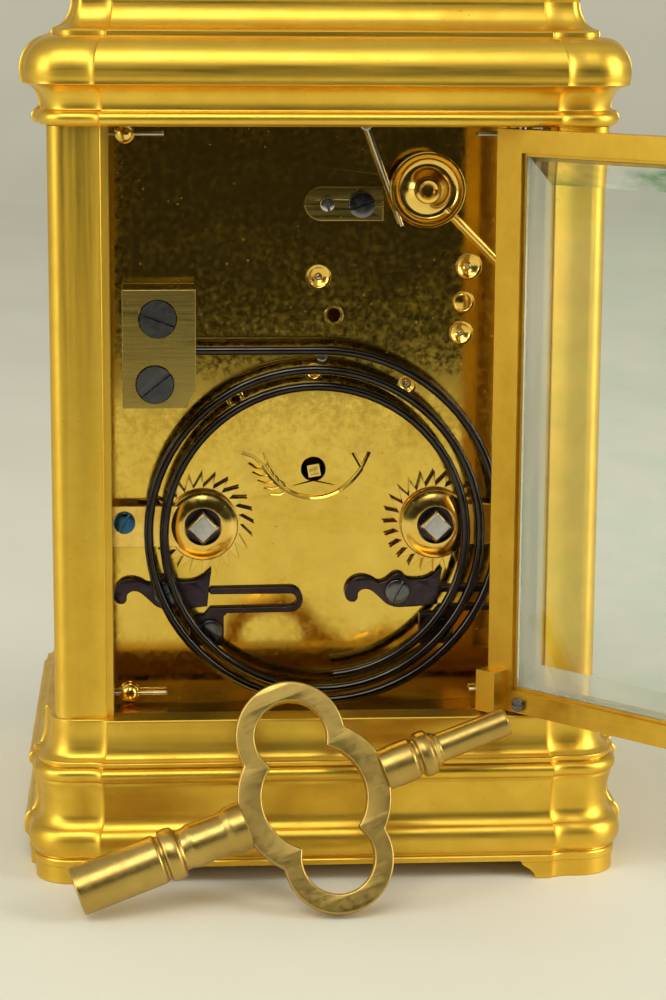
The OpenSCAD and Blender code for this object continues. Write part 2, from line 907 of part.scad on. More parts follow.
module strike_winding_arbor() {
    winding_arbor(strike_p, strike_barrel_y[0], strike_barrel_y[1]);
}

module barrel(p, y, n, m, turn) {
    color(movement_brass)
        difference() {
            union() {
                along_y(y[0], y[0] + wheel_t)
                    gear(p, n, m, turn, 0, 0);
                rod_y(p, y[0] + wheel_t, y[1], barrel_r);
            }
            rod_y(p, y[0] + 1.5, y[1] - 1.5, barrel_r - 1.4);
            rod_y(p, y[0] - 1, y[1] + 1, winding_bore_r);
        }
}

time_m = pitch_m(time_p, centre_p, barrel_n, centre_pinion_n);
centre_m = pitch_m(centre_p, third_p, centre_n, third_pinion_n);
third_m = pitch_m(third_p, contrate_p, third_n, contrate_pinion_n);
strike_m = pitch_m(strike_p, pin_p, strike_n, pin_pinion_n);
pin_m = pitch_m(pin_p, locking_p, pin_n, locking_pinion_n);
locking_m = pitch_m(locking_p, fly_p, locking_n, fly_pinion_n);

module time_barrel() {
    barrel(time_p, time_barrel_y, barrel_n, time_m, 0);
}

module strike_barrel() {
    barrel(strike_p, strike_barrel_y, strike_n, strike_m, 0);
}

// Click drawn about its pivot: a head that points at the ratchet and a curled tail
module click_2d() {
    difference() {
        union() {
            circle(r = 2.6);
            polygon([[-6.6, -2.4], [0, -2.6], [0.6, 2.5], [-1.5, 2.3], [-4.4, 2.1], [-7.4, 3.8], [-7, 0]]);
            polygon([[0, -2.6], [3.4, -1.9], [6, -0.7], [7.6, -1], [7.4, 0.9], [6.2, 1.7], [4.2, 1.7], [1.6, 1.2], [0, 2.6]]);
            translate([7.6, 0])
                circle(r = 1.15);
        }
        circle(r = click_screw_r + 0.06);
    }
}

module click(w) {
    color(blued)
        along_y(ratchet_y[0], ratchet_y[1])
            translate(click_p(w))
                click_2d();
}

module time_click() {
    click(time_p);
}

module strike_click() {
    click(strike_p);
}

// Hairpin spring with a screwed foot
module click_spring_2d() {
    difference() {
        union() {
            square([5.6, 5.4], center = true);
            translate([-2.8, 1.9])
                square([1.6, 3]);
            translate([-14.4, 3.4])
                square([13.4, 1]);
            translate([-14.4, 6.2])
                square([13.8, 1]);
            translate([-14.4, 5.3])
                difference() {
                    circle(r = 1.9);
                    circle(r = 0.9);
                    translate([0, -3])
                        square([4, 6]);
                }
        }
        circle(r = 0.8);
    }
}

spring_foot_off = [-1.2, -18];

module click_springs() {
    color(blued)
        for (w = [time_p, strike_p])
            along_y(plate_y, ratchet_y[0] + 1.1)
                translate(w + spring_foot_off)
                    click_spring_2d();
}

// Small screws that hold cocks, clicks and springs: [x, z, head radius, head bottom y, slot turn]
small_screws = [
    [33.9 - 2.1, time_p[1] + 0.7, 1.7, cock_y[1], 60],
    [-33.6 + 2.1, strike_p[1] + 0.7, 1.7, cock_y[1], 20],
    [click_p(time_p)[0], click_p(time_p)[1], 2, ratchet_y[1] + 0.1, 30],
    [click_p(strike_p)[0], click_p(strike_p)[1], 2, ratchet_y[1] + 0.1, 80],
    [time_p[0] + spring_foot_off[0], time_p[1] + spring_foot_off[1], 1.9, ratchet_y[0] + 1.1, -25],
    [strike_p[0] + spring_foot_off[0], strike_p[1] + spring_foot_off[1], 1.9, ratchet_y[0] + 1.1, 15],
    [-0.9, 104.5, 1.15, hammer_cock_y[1], -75],
    [-6.4, 104.4, 2.1, hammer_cock_y[1], 20],
    [-0.3, 79.8, 0.9, plate_y, 10]
];

module plate_screws() {
    color(steel)
        for (s = small_screws)
            translate([s[0], s[3], s[1]])
                rotate([0, s[4], 0])
                    rotate([-90, 0, 0])
                        difference() {
                            union() {
                                cylinder(h = 0.8, r = s[2]);
                                translate([0, 0, -(s[3] - plate_y)])
                                    cylinder(h = s[3] - plate_y + 0.1, r = min(click_screw_r, s[2] * 0.7));
                            }
                            translate([-4, -0.2, 0.4])
                                cube([8, 0.4, 1]);
                        }
}

// ---------- hammer ----------

module hammer_cock() {
    color(movement_brass)
        along_y(hammer_cock_y[0], hammer_cock_y[1])
            difference() {
                union() {
                    translate([-9.9, 101.8])
                        square([9.9, 5.4]);
                    translate([0, 104.5])
                        circle(r = 2.7);
                }
                translate([0, 104.35])
                    square([4, 0.3]);
                translate([-0.9, 104.5])
                    circle(r = click_screw_r);
                translate([-6.4, 104.4])
                    circle(r = click_screw_r);
            }
}

module hammer_spring() {
    top = [-7, plate_y + 2.4, 117];
    end = [-12.9, plate_y + 2.4, 101];
    color(steel) {
        segment(top, end, 0.42);
        rod_y([top[0], top[2]], plate_y, plate_y + 3.2, 0.9);
    }
}

module segment(a, b, r) {
    l = norm(b - a);
    d = (b - a) / l;
    translate(a)
        rotate([0, acos(d[2]), atan2(d[1], d[0])])
            cylinder(h = l, r = r);
}

module hammer() {
    c = [hammer_p[0], hammer_rod_y, hammer_p[1]];
    elbow = [hammer_elbow[0], hammer_rod_y, hammer_elbow[1]];
    head = [hammer_head[0], hammer_rod_y, hammer_head[1]];
    color(movement_brass) {
        difference() {
            rod_y(hammer_p, hammer_y[0], hammer_y[1], hammer_disc_r);
            rod_y(hammer_p, hammer_y[1] - 1.2, hammer_y[1] + 1, hammer_disc_r - 1.4);
        }
        rod_y(hammer_p, back_in - 3, hammer_y[1] + 0.6, 1.1);
        rod_y(hammer_p, hammer_y[1] - 1.3, hammer_y[1] + 0.9, 1.8);
        segment(c + [-3.6, 0, -3.6], elbow, hammer_rod_r);
        translate(elbow)
            sphere(r = hammer_rod_r);
        segment(elbow, head, hammer_rod_r);
    }
    color(steel)
        translate(head - [hammer_head_r, 0, 0])
            rotate([0, 90, 0])
                cylinder(h = 2 * hammer_head_r, r = 1.7);
}

// ---------- going train ----------

module centre_wheel() {
    turn = mesh_turn(0, barrel_n, centre_pinion_n, bearing(time_p, centre_p));
    color(movement_brass) {
        along_y(-19.7, -18.8)
            gear(centre_p, centre_n, centre_m, 0, 0, 4);
        along_y(-25.6, -24.6)
            gear(centre_p, transfer_n, transfer_d / transfer_n, 0, 0, 0);
    }
    color(steel) {
        along_y(-11.6, -9.1)
            gear(centre_p, centre_pinion_n, time_m, turn, 0, 0);
        rod_y(centre_p, front_in + 0.15, back_in - 0.15, arbor_r);
        rod_y(centre_p, -26, front_in + 0.2, pivot_r);
        rod_y(centre_p, back_in - 0.2, plate_y + 1.5, pivot_r);
        translate([centre_p[0], 0, centre_p[1]])
            rotate([0, 10, 0])
                box([-1, plate_y - 1.4, -1], [1, plate_y + 1.6, 1]);
    }
}

module third_wheel() {
    turn = mesh_turn(0, centre_n, third_pinion_n, bearing(centre_p, third_p));
    color(movement_brass)
        along_y(8.4, 9.3)
            gear(third_p, third_n, third_m, 0, 0, 4);
    color(steel) {
        along_y(-20.2, -18.3)
            gear(third_p, third_pinion_n, centre_m, turn, 0, 0);
        arbor(third_p, 0.7);
    }
}

module contrate_wheel() {
    turn = mesh_turn(0, third_n, contrate_pinion_n, bearing(third_p, contrate_p));
    color(movement_brass) {
        along_y(-4, -3.1)
            difference() {
                translate(contrate_p)
                    circle(r = contrate_r);
                translate(contrate_p)
                    difference() {
                        circle(r = contrate_r - 2.4);
                        circle(r = 2.4);
                        for (i = [0 : 3])
                            rotate(i * 90)
                                translate([0, -0.7])
                                    square([contrate_r, 1.4]);
                    }
            }
        along_y(-3.1, -1.2)
            translate(contrate_p)
                difference() {
                    circle(r = contrate_r);
                    circle(r = contrate_r - 1.4);
                }
        along_y(-1.3, contrate_tip)
            translate(contrate_p)
                for (i = [0 : contrate_n - 1])
                    rotate(i * 360 / contrate_n)
                        translate([contrate_r - 1.4, -0.13])
                            square([1.4, 0.26]);
    }
    color(steel) {
        along_y(7.9, 9.8)
            gear(contrate_p, contrate_pinion_n, third_m, turn, 0, 0);
        arbor(contrate_p, 0.7);
    }
}

// ---------- platform ----------

module platform() {
    color(movement_brass)
        difference() {
            translate([-15, front_out + 0.4, platform_z])
                cube([40, plate_y - front_out - 0.8, platform_t]);
            for (p = [escape_p, lever_p, balance_p])
                translate([p[0], p[1], platform_z - 1])
                    cylinder(h = 4, r = 1.2);
            for (x = [-12.5, 22.5])
                for (y = [front_out + 0.9, plate_y - 0.9])
                    translate([x, y, platform_z - 1])
                        cylinder(h = 4, r = 0.7);
        }
}

escape_z = platform_z + platform_t + 1.6;
lever_z = escape_z;
balance_z = platform_z + platform_t + 6;

module escape_wheel() {
    rim = 3.5;
    color(movement_brass)
        translate([escape_p[0], escape_p[1], escape_z])
            linear_extrude(0.6)
                difference() {
                    polygon([for (i = [0 : 14]) each [
                        [rim * cos(i * 24), rim * sin(i * 24)],
                        [4.1 * cos(i * 24 + 9), 4.1 * sin(i * 24 + 9)],
                        [4.2 * cos(i * 24 + 12), 4.2 * sin(i * 24 + 12)],
                        [rim * cos(i * 24 + 9), rim * sin(i * 24 + 9)]
                    ]]);
                    difference() {
                        circle(r = 2.6);
                        circle(r = 1.1);
                        for (i = [0 : 3])
                            rotate(i * 90 + 45)
                                translate([0, -0.3])
                                    square([3, 0.6]);
                    }
                }
    color(steel)
        translate([escape_p[0], escape_p[1], 0]) {
            translate([0, 0, contrate_p[1] + contrate_r - 2.4])
                cylinder(h = escape_z + 1.6 - contrate_p[1] - contrate_r + 2.4, r = 0.45);
            translate([0, 0, contrate_p[1] + contrate_r - 2])
                linear_extrude(4)
                    polygon([for (i = [0 : escape_pinion_n - 1])
                        for (k = [[-0.2, -0.5], [-0.1, 0.3], [0.1, 0.3], [0.2, -0.5]])
                            let (a = (i + k[0]) * 360 / escape_pinion_n - 90, r = escape_pinion_r + k[1])
                                [r * cos(a), r * sin(a)]]);
        }
}

module pallet_lever() {
    color(steel)
        translate([lever_p[0], lever_p[1], lever_z]) {
            linear_extrude(0.5)
                difference() {
                    union() {
                        translate([-1.3, -3.2])
                            square([1.6, 6.4]);
                        for (s = [-1, 1])
                            translate([-1.9, s * 2.9 - 0.4])
                                square([1.2, 0.8]);
                        translate([0, -0.35])
                            square([5.6, 0.7]);
                        translate([5.2, -0.9])
                            square([1, 1.8]);
                    }
                    translate([5.7, -0.3])
                        square([1, 0.6]);
                }
            translate([0, 0, -1.6])
                cylinder(h = 3.6, r = 0.35);
        }
}

module balance_wheel() {
    color(movement_brass)
        translate([balance_p[0], balance_p[1], balance_z])
            linear_extrude(0.9)
                union() {
                    difference() {
                        circle(r = balance_r);
                        circle(r = balance_r - 0.9);
                    }
                    translate([-balance_r + 0.4, -0.5])
                        square([2 * balance_r - 0.8, 1]);
                    circle(r = 1.3);
                    for (i = [0 : 15])
                        rotate(i * 22.5 + 11.25)
                            translate([balance_r - 0.1, -0.35])
                                square([0.8, 0.7]);
                }
    color(steel)
        translate([balance_p[0], balance_p[1], 0]) {
            translate([0, 0, platform_z + 0.3])
                cylinder(h = balance_z - platform_z + 4.1, r = 0.4);
            translate([0, 0, balance_z + 0.5])
                cylinder(h = 1.6, r = 1.05);
        }
}

spring_w = 0.14;

module balance_spring() {
    turns = 6;
    r0 = 1.1;
    pitch = 0.42;
    steps = 20 * turns;
    color(blued)
        translate([balance_p[0], balance_p[1], balance_z + 1.7])
            linear_extrude(0.3)
                polygon(concat(
                    [for (i = [0 : steps]) let (a = i * 360 * turns / steps, r = r0 + pitch * a / 360)
                        [r * cos(a), r * sin(a)]],
                    [for (i = [steps : -1 : 0]) let (a = i * 360 * turns / steps, r = r0 + spring_w + pitch * a / 360)
                        [r * cos(a), r * sin(a)]]
                ));
}

module balance_cock() {
    z0 = platform_z + platform_t;
    color(movement_brass)
        difference() {
            union() {
                translate([balance_p[0] - 3.4, balance_p[1] + balance_r + 1, z0])
                    cube([6.8, 3.2, 10]);
                translate([0, 0, balance_z + 2.8])
                    linear_extrude(1.2)
                        union() {
                            translate(balance_p)
                                circle(r = 2.8);
                            translate([balance_p[0] - 2, balance_p[1]])
                                square([4, balance_r + 4.2]);
                            translate([balance_p[0] - 3.4, balance_p[1] + balance_r + 1])
                                square([6.8, 3.2]);
                        }
            }
            translate([balance_p[0], balance_p[1], balance_z + 1])
                cylinder(h = 5, r = 0.5);
        }
}

// ---------- motion work and hands ----------

transfer_turn = mesh_turn(0, transfer_n, transfer_n, bearing(centre_p, transfer_p));
cannon_turn = mesh_turn(transfer_turn, transfer_n, transfer_n, bearing(transfer_p, dial_p));

module transfer_wheel() {
    color(movement_brass)
        along_y(-25.6, -24.6)
            gear(transfer_p, transfer_n, transfer_d / transfer_n, transfer_turn, 0.56, 0);
}

module cannon_wheel() {
    color(movement_brass)
        along_y(-25.6, -24.6)
            gear(dial_p, transfer_n, transfer_d / transfer_n, cannon_turn, 0.56, 0);
    color(steel) {
        along_y(-27.4, -25.6)
            gear(dial_p, cannon_n, motion_m, 0, 0.56, 0);
        along_y(-33, -27.4)
            difference() {
                translate(dial_p)
                    circle(r = 0.9);
                translate(dial_p)
                    circle(r = 0.56);
            }
    }
}

minute_turn = mesh_turn(0, cannon_n, minute_n, bearing(dial_p, minute_p));
hour_turn = mesh_turn(0, minute_pinion_n, hour_n, bearing(minute_p, dial_p));

module minute_wheel() {
    color(movement_brass) {
        along_y(-27, -26.2)
            gear(minute_p, minute_n, motion_m, minute_turn, 0.56, 0);
        along_y(-28.6, -27)
            gear(minute_p, minute_pinion_n, hour_m, 0, 0.56, 0);
    }
}

module hour_wheel() {
    color(movement_brass) {
        along_y(-28.5, -27.7)
            gear(dial_p, hour_n, hour_m, hour_turn, 0.97, 0);
        along_y(-32, -28.5)
            difference() {
                translate(dial_p)
                    circle(r = 1.6);
                translate(dial_p)
                    circle(r = 0.97);
            }
    }
}

// A spade-shaped hand that points straight up, with its hole at the dial centre
module hand_2d(l, spade, hole) {
    translate(dial_p)
        difference() {
            union() {
                circle(r = hole + 1);
                polygon([[-0.5, 0], [0.5, 0], [0.35, l - 2 * spade], [-0.35, l - 2 * spade]]);
                translate([0, l - 2.2 * spade])
                    circle(r = spade);
                polygon([[-spade * 0.6, l - 1.6 * spade], [0, l], [spade * 0.6, l - 1.6 * spade], [0, l - 2.4 * spade]]);
            }
            circle(r = hole);
        }
}

module hour_hand() {
    color(blued)
        translate([dial_p[0], 0, dial_p[1]])
            rotate([0, 300, 0])
                translate([-dial_p[0], 0, -dial_p[1]])
                    along_y(-32, -31.7)
                        hand_2d(14, 1.9, 1.62);
}

module minute_hand() {
    color(blued)
        translate([dial_p[0], 0, dial_p[1]])
            rotate([0, 60, 0])
                translate([-dial_p[0], 0, -dial_p[1]])
                    along_y(-33, -32.7)
                        hand_2d(21.5, 1.1, 0.92);
}

// ---------- striking train ----------

module pin_wheel() {
    turn = mesh_turn(0, strike_n, pin_pinion_n, bearing(strike_p, pin_p));
    color(movement_brass)
        along_y(3.2, 4.2)
            gear(pin_p, pin_n, pin_m, 0, 0, 4);
    color(steel) {
        along_y(-18, -15.7)
            gear(pin_p, pin_pinion_n, strike_m, turn, 0, 0);
        for (i = [0 : 7])
            rod_y(pin_p + 9 * [cos(i * 45), sin(i * 45)], 4, 5.8, 0.4);
        arbor(pin_p, 0.7);
    }
}

module locking_wheel() {
    turn = mesh_turn(0, pin_n, locking_pinion_n, bearing(pin_p, locking_p));
    color(movement_brass)
        along_y(-9, -8.1)
            gear(locking_p, locking_n, locking_m, 0, 0, 4);
    color(steel) {
        along_y(2.7, 4.7)
            gear(locking_p, locking_pinion_n, pin_m, turn, 0, 0);
        arbor(locking_p, 0.7);
    }
}

module fly() {
    turn = mesh_turn(0, locking_n, fly_pinion_n, bearing(locking_p, fly_p));
    color(movement_brass)
        along_y(-5, 7)
            translate(fly_p)
                square([14, 0.5], center = true);
    color(steel) {
        along_y(-9.5, -7.6)
            gear(fly_p, fly_pinion_n, locking_m, turn, 0, 0);
        arbor(fly_p, 0.7);
    }
}

// ---------- repeat button and key ----------

module repeat_button() {
    color(gilt)
        translate([0, 0, 127])
            rotate([-90, 0, 0]) {
                translate([0, 0, -case_hd - 8.4])
                    cylinder(h = 1.6, r = 2.3);
                translate([0, 0, -case_hd - 7])
                    cylinder(h = 18, r = 1.3);
            }
}

module bow_2d() {
    difference() {
        union() {
            circle(r = bow_r);
            for (s = [-1, 1])
                translate([0, s * 10])
                    circle(r = 8.4);
        }
        circle(r = bow_r - 3.8);
        for (s = [-1, 1])
            translate([0, s * 9.8])
                circle(r = 5.5);
    }
}

// Turned stem between two places, with its radius at each place
module turned(points) {
    rotate([0, 90, 0])
        rotate_extrude()
            polygon(concat([[0, points[0][0]]], [for (p = points) [p[1], p[0]]], [[0, points[len(points) - 1][0]]]));
}

module winding_key() {
    color("darkgoldenrod")
        translate(key_centre)
            rotate([key_lean, 0, 0])
                rotate([0, key_tilt, 0])
                    rotate([0, 0, 180])
                        rotate([90, 0, 0]) {
                            translate([0, 0, -bow_t / 2])
                                linear_extrude(bow_t)
                                    bow_2d();
                            difference() {
                                turned([[-38.65, 3.75], [-25, 3.85], [-24.6, 3.4], [-24.3, 4.1], [-22.2, 4.1], [-21.8, 3.1],
                                    [-20, 3.4], [-14.4, 3.2], [-13.4, 3.7], [-10.6, 3.7]]);
                                translate([-39, -square_w / 2 - 0.1, -square_w / 2 - 0.1])
                                    cube([12, square_w + 0.2, square_w + 0.2]);
                            }
                            difference() {
                                turned([[10.6, 3.2], [12.6, 3.2], [13.2, 3.3], [16.2, 3.3], [16.8, 2.9], [17.4, 3.6],
                                    [19.2, 3.6], [19.8, 2.7], [20.8, 2.3], [32.1, 2.2]]);
                                translate([24, -1.1, -1.1])
                                    cube([12, 2.2, 2.2]);
                            }
                        }
}

base_moulding();
case_floor();
column_front_left();
column_front_right();
column_rear_left();
column_rear_right();
cornice();
top_glass();
side_glasses();
front_glass();
handle_posts();
handle();
door_frame();
door_glass();
door_knob();
door_screw();
door_pins();
case_screws();
dial_mask();
dial();
front_plate();
back_plate();
movement_pillars();
taper_pins();
gong_block();
gong();
gong_screws();
time_winding_cock();
strike_winding_cock();
plate_screws();
click_springs();
hammer_cock();
hammer_spring();
hammer();
platform();
balance_cock();
time_winding_arbor();
strike_winding_arbor();
time_barrel();
strike_barrel();
time_click();
strike_click();
centre_wheel();
third_wheel();
contrate_wheel();
escape_wheel();
pallet_lever();
balance_wheel();
balance_spring();
transfer_wheel();
cannon_wheel();
minute_hand();
minute_wheel();
hour_wheel();
hour_hand();
pin_wheel();
locking_wheel();
fly();
repeat_button();
winding_key();
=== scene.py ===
# Looks for the carriage clock: high-resolution metal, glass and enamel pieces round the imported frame.
import math

import bmesh
import bpy
from mathutils import Matrix, Vector


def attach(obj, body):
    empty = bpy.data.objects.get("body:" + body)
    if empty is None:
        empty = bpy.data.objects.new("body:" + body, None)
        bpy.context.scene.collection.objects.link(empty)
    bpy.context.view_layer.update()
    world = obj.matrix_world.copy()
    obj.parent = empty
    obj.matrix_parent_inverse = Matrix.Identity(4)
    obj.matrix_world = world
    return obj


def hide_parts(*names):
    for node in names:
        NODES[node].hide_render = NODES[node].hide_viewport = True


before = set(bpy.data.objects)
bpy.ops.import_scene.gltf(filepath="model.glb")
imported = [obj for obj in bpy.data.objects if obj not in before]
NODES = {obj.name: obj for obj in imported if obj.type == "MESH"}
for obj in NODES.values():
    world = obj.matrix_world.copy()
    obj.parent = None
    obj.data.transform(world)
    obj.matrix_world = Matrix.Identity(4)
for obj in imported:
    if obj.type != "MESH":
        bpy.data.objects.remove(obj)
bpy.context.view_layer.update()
MM = 0.001


# ---------------------------------------------------------------- materials

class Tree:
    """A material's node tree with short calls for the nodes used here."""

    def __init__(self, name):
        self.mat = bpy.data.materials.new(name)
        self.mat.use_nodes = True
        self.nt = self.mat.node_tree
        self.shader = self.nt.nodes["Principled BSDF"]
        self.coord = self.nt.nodes.new("ShaderNodeTexCoord").outputs["Object"]

    def add(self, kind, inputs=None, **props):
        n = self.nt.nodes.new(kind)
        for k, v in props.items():
            setattr(n, k, v)
        for k, v in (inputs or {}).items():
            self.put(n.inputs[k], v)
        return n

    def put(self, socket, v):
        if isinstance(v, bpy.types.NodeSocket):
            self.nt.links.new(v, socket)
        else:
            socket.default_value = v

    def noise(self, scale, stretch=(1, 1, 1), detail=3.0, rough=0.55):
        m = self.add("ShaderNodeMapping", {"Vector": self.coord, "Scale": stretch})
        return self.add(
            "ShaderNodeTexNoise",
            {"Vector": m.outputs[0], "Scale": scale, "Detail": detail, "Roughness": rough},
        ).outputs["Fac"]

    def span(self, value, lo, hi, to_lo=0.0, to_hi=1.0):
        return self.add(
            "ShaderNodeMapRange",
            {"Value": value, "From Min": lo, "From Max": hi, "To Min": to_lo, "To Max": to_hi},
            clamp=True,
        ).outputs[0]

    def mix(self, fac, a, b):
        n = self.add("ShaderNodeMix", data_type="RGBA")
        self.put(n.inputs[0], fac)
        self.put(n.inputs[6], a)
        self.put(n.inputs[7], b)
        return n.outputs[2]

    def math(self, op, a, b):
        n = self.add("ShaderNodeMath", operation=op)
        self.put(n.inputs[0], a)
        self.put(n.inputs[1], b)
        return n.outputs[0]

    def bump(self, height, strength, distance):
        n = self.add("ShaderNodeBump", {"Height": height, "Strength": strength, "Distance": distance})
        self.put(self.shader.inputs["Normal"], n.outputs[0])

    def set(self, **values):
        for k, v in values.items():
            self.put(self.shader.inputs[k.replace("_", " ")], v)


def rgb(r, g, b):
    return (r, g, b, 1.0)


def metal(name, light, deep, dirt_and_shade, rough, brush, grain=1.0, marks=0.35, edge=0.5):
    """Worked metal: cloudy tone, fine brushing along one way, specks of dirt, painted shade in the hollows
    and bright edges.
    """
    t = Tree(name)
    clouds = t.noise(55, (1, 1, 1), 4)
    patches = t.noise(260, (1, 1, 1), 3)
    lines = t.noise(900, brush, 2, 0.7)
    fine = t.noise(4200, (1, 1, 1), 2)
    tone = t.math("ADD", t.math("MULTIPLY", clouds, 0.6), t.math("MULTIPLY", patches, 0.4))
    colour = t.mix(t.span(tone, 0.36, 0.64), deep, light)
    specks = t.span(t.noise(1500, (1, 1, 1), 2), 0.70, 0.78)
    colour = t.mix(t.math("MULTIPLY", specks, marks), colour, dirt_and_shade)
    point = t.add("ShaderNodeNewGeometry").outputs["Pointiness"]
    # painted shade: hollows found by pointiness are darkened towards the dirt-and-shade colour
    hollow = t.span(point, 0.40, 0.485, 1.0, 0.0)
    colour = t.mix(t.math("MULTIPLY", hollow, 0.55), colour, dirt_and_shade)
    ridge = t.span(point, 0.52, 0.60)
    colour = t.mix(t.math("MULTIPLY", ridge, edge), colour, light)
    brushed = t.span(lines, 0.3, 0.7, rough - 0.05, rough + 0.06)
    worn = t.math("ADD", brushed, t.span(tone, 0.35, 0.65, 0.04, -0.03))
    t.set(Base_Color=colour, Roughness=t.math("ADD", worn, t.math("MULTIPLY", specks, 0.2)))
    t.shader.inputs["Metallic"].default_value = 1.0
    height = t.math("ADD", t.math("MULTIPLY", lines, 0.7), t.math("MULTIPLY", fine, 0.3))
    t.bump(height, 0.35 * grain, 0.00003)
    return t.mat


def glass_material(name, tint, rough):
    """Clear glass with faint smears and dust."""
    t = Tree(name)
    smear = t.noise(90, (1, 1, 3), 4)
    dust = t.span(t.noise(2600, (1, 1, 1), 2), 0.66, 0.74)
    t.set(Base_Color=t.mix(t.span(smear, 0.35, 0.65), tint, rgb(0.97, 0.99, 0.97)))
    smeared = t.span(smear, 0.5, 0.8, rough, rough + 0.03)
    t.set(Roughness=t.math("ADD", smeared, t.math("MULTIPLY", dust, 0.05)))
    t.shader.inputs["Transmission Weight"].default_value = 1.0
    t.shader.inputs["IOR"].default_value = 1.5
    t.bump(smear, 0.05, 0.00002)
    return t.mat


def painted_highlight_glass_material(name):
    """A ground bevel with a painted highlight: clear glass with a pale, milky share that stands for the
    light it catches.
    """
    t = Tree(name)
    haze = t.noise(60, (1, 1, 0.4), 3)
    t.set(Base_Color=t.mix(t.span(haze, 0.35, 0.65), rgb(0.78, 0.78, 0.62), rgb(0.86, 0.86, 0.70)))
    t.set(Roughness=t.span(haze, 0.4, 0.7, 0.04, 0.10))
    t.shader.inputs["Transmission Weight"].default_value = 0.35
    t.shader.inputs["IOR"].default_value = 1.5
    t.bump(haze, 0.05, 0.00002)
    return t.mat


def enamel_material(name, colour, deep, rough):
    """Fired enamel: a slightly uneven tone, fine crazing and a glossy coat."""
    t = Tree(name)
    tone = t.noise(120, (1, 1, 1), 4)
    craze = t.span(t.noise(900, (1, 1, 1), 4), 0.60, 0.68)
    c = t.mix(t.span(tone, 0.35, 0.7), colour, deep)
    t.set(Base_Color=t.mix(t.math("MULTIPLY", craze, 0.25), c, deep))
    t.set(Roughness=t.span(tone, 0.3, 0.7, rough, rough + 0.1))
    t.shader.inputs["Coat Weight"].default_value = 0.6
    t.shader.inputs["Coat Roughness"].default_value = 0.05
    t.bump(tone, 0.08, 0.00004)
    return t.mat


def ground_material(name):
    """A pale, slightly satin table."""
    t = Tree(name)
    tone = t.noise(9, (1, 1, 1), 3)
    fine = t.noise(700, (1, 1, 1), 3)
    t.set(Base_Color=t.mix(t.span(tone, 0.3, 0.7), rgb(0.72, 0.70, 0.575), rgb(0.76, 0.74, 0.615)))
    t.set(Roughness=t.span(fine, 0.3, 0.7, 0.42, 0.55))
    t.shader.inputs["Specular IOR Level"].default_value = 0.35
    t.bump(fine, 0.05, 0.0001)
    return t.mat


# Directions of brushing
HORIZONTAL = (0.05, 0.05, 1.5)
VERTICAL = (1.5, 1.5, 0.04)
EVEN = (1, 1, 1)

# Light, deep and dirt-and-shade colours of the metals; the last serves the dirt specks and the painted
# shade in hollows
GILT = rgb(0.86, 0.565, 0.072), rgb(0.72, 0.44, 0.045), rgb(0.18, 0.10, 0.022)
DOOR_GILT = rgb(0.72, 0.455, 0.055), rgb(0.57, 0.335, 0.032), rgb(0.18, 0.10, 0.022)
PLATE = rgb(0.83, 0.585, 0.11), rgb(0.70, 0.455, 0.06), rgb(0.30, 0.17, 0.04)
BRASS = rgb(0.92, 0.66, 0.17), rgb(0.80, 0.50, 0.09), rgb(0.20, 0.11, 0.03)
YELLOW = rgb(0.56, 0.43, 0.125), rgb(0.43, 0.315, 0.075), rgb(0.20, 0.13, 0.04)
FLOOR_BRASS = rgb(0.85, 0.55, 0.10), rgb(0.66, 0.36, 0.05), rgb(0.18, 0.09, 0.03)
KEY_BRASS = rgb(0.55, 0.385, 0.105), rgb(0.44, 0.29, 0.07), rgb(0.26, 0.165, 0.05)
STEEL = rgb(0.62, 0.61, 0.58), rgb(0.40, 0.39, 0.37), rgb(0.10, 0.09, 0.08)
DARK_STEEL = rgb(0.20, 0.20, 0.20), rgb(0.09, 0.09, 0.10), rgb(0.03, 0.03, 0.03)
BLUE_STEEL = rgb(0.07, 0.20, 0.33), rgb(0.03, 0.10, 0.20), rgb(0.02, 0.02, 0.03)
GONG_STEEL = rgb(0.060, 0.056, 0.050), rgb(0.030, 0.022, 0.024), rgb(0.03, 0.07, 0.07)
CLICK_STEEL = rgb(0.075, 0.055, 0.070), rgb(0.045, 0.032, 0.040), rgb(0.02, 0.015, 0.02)

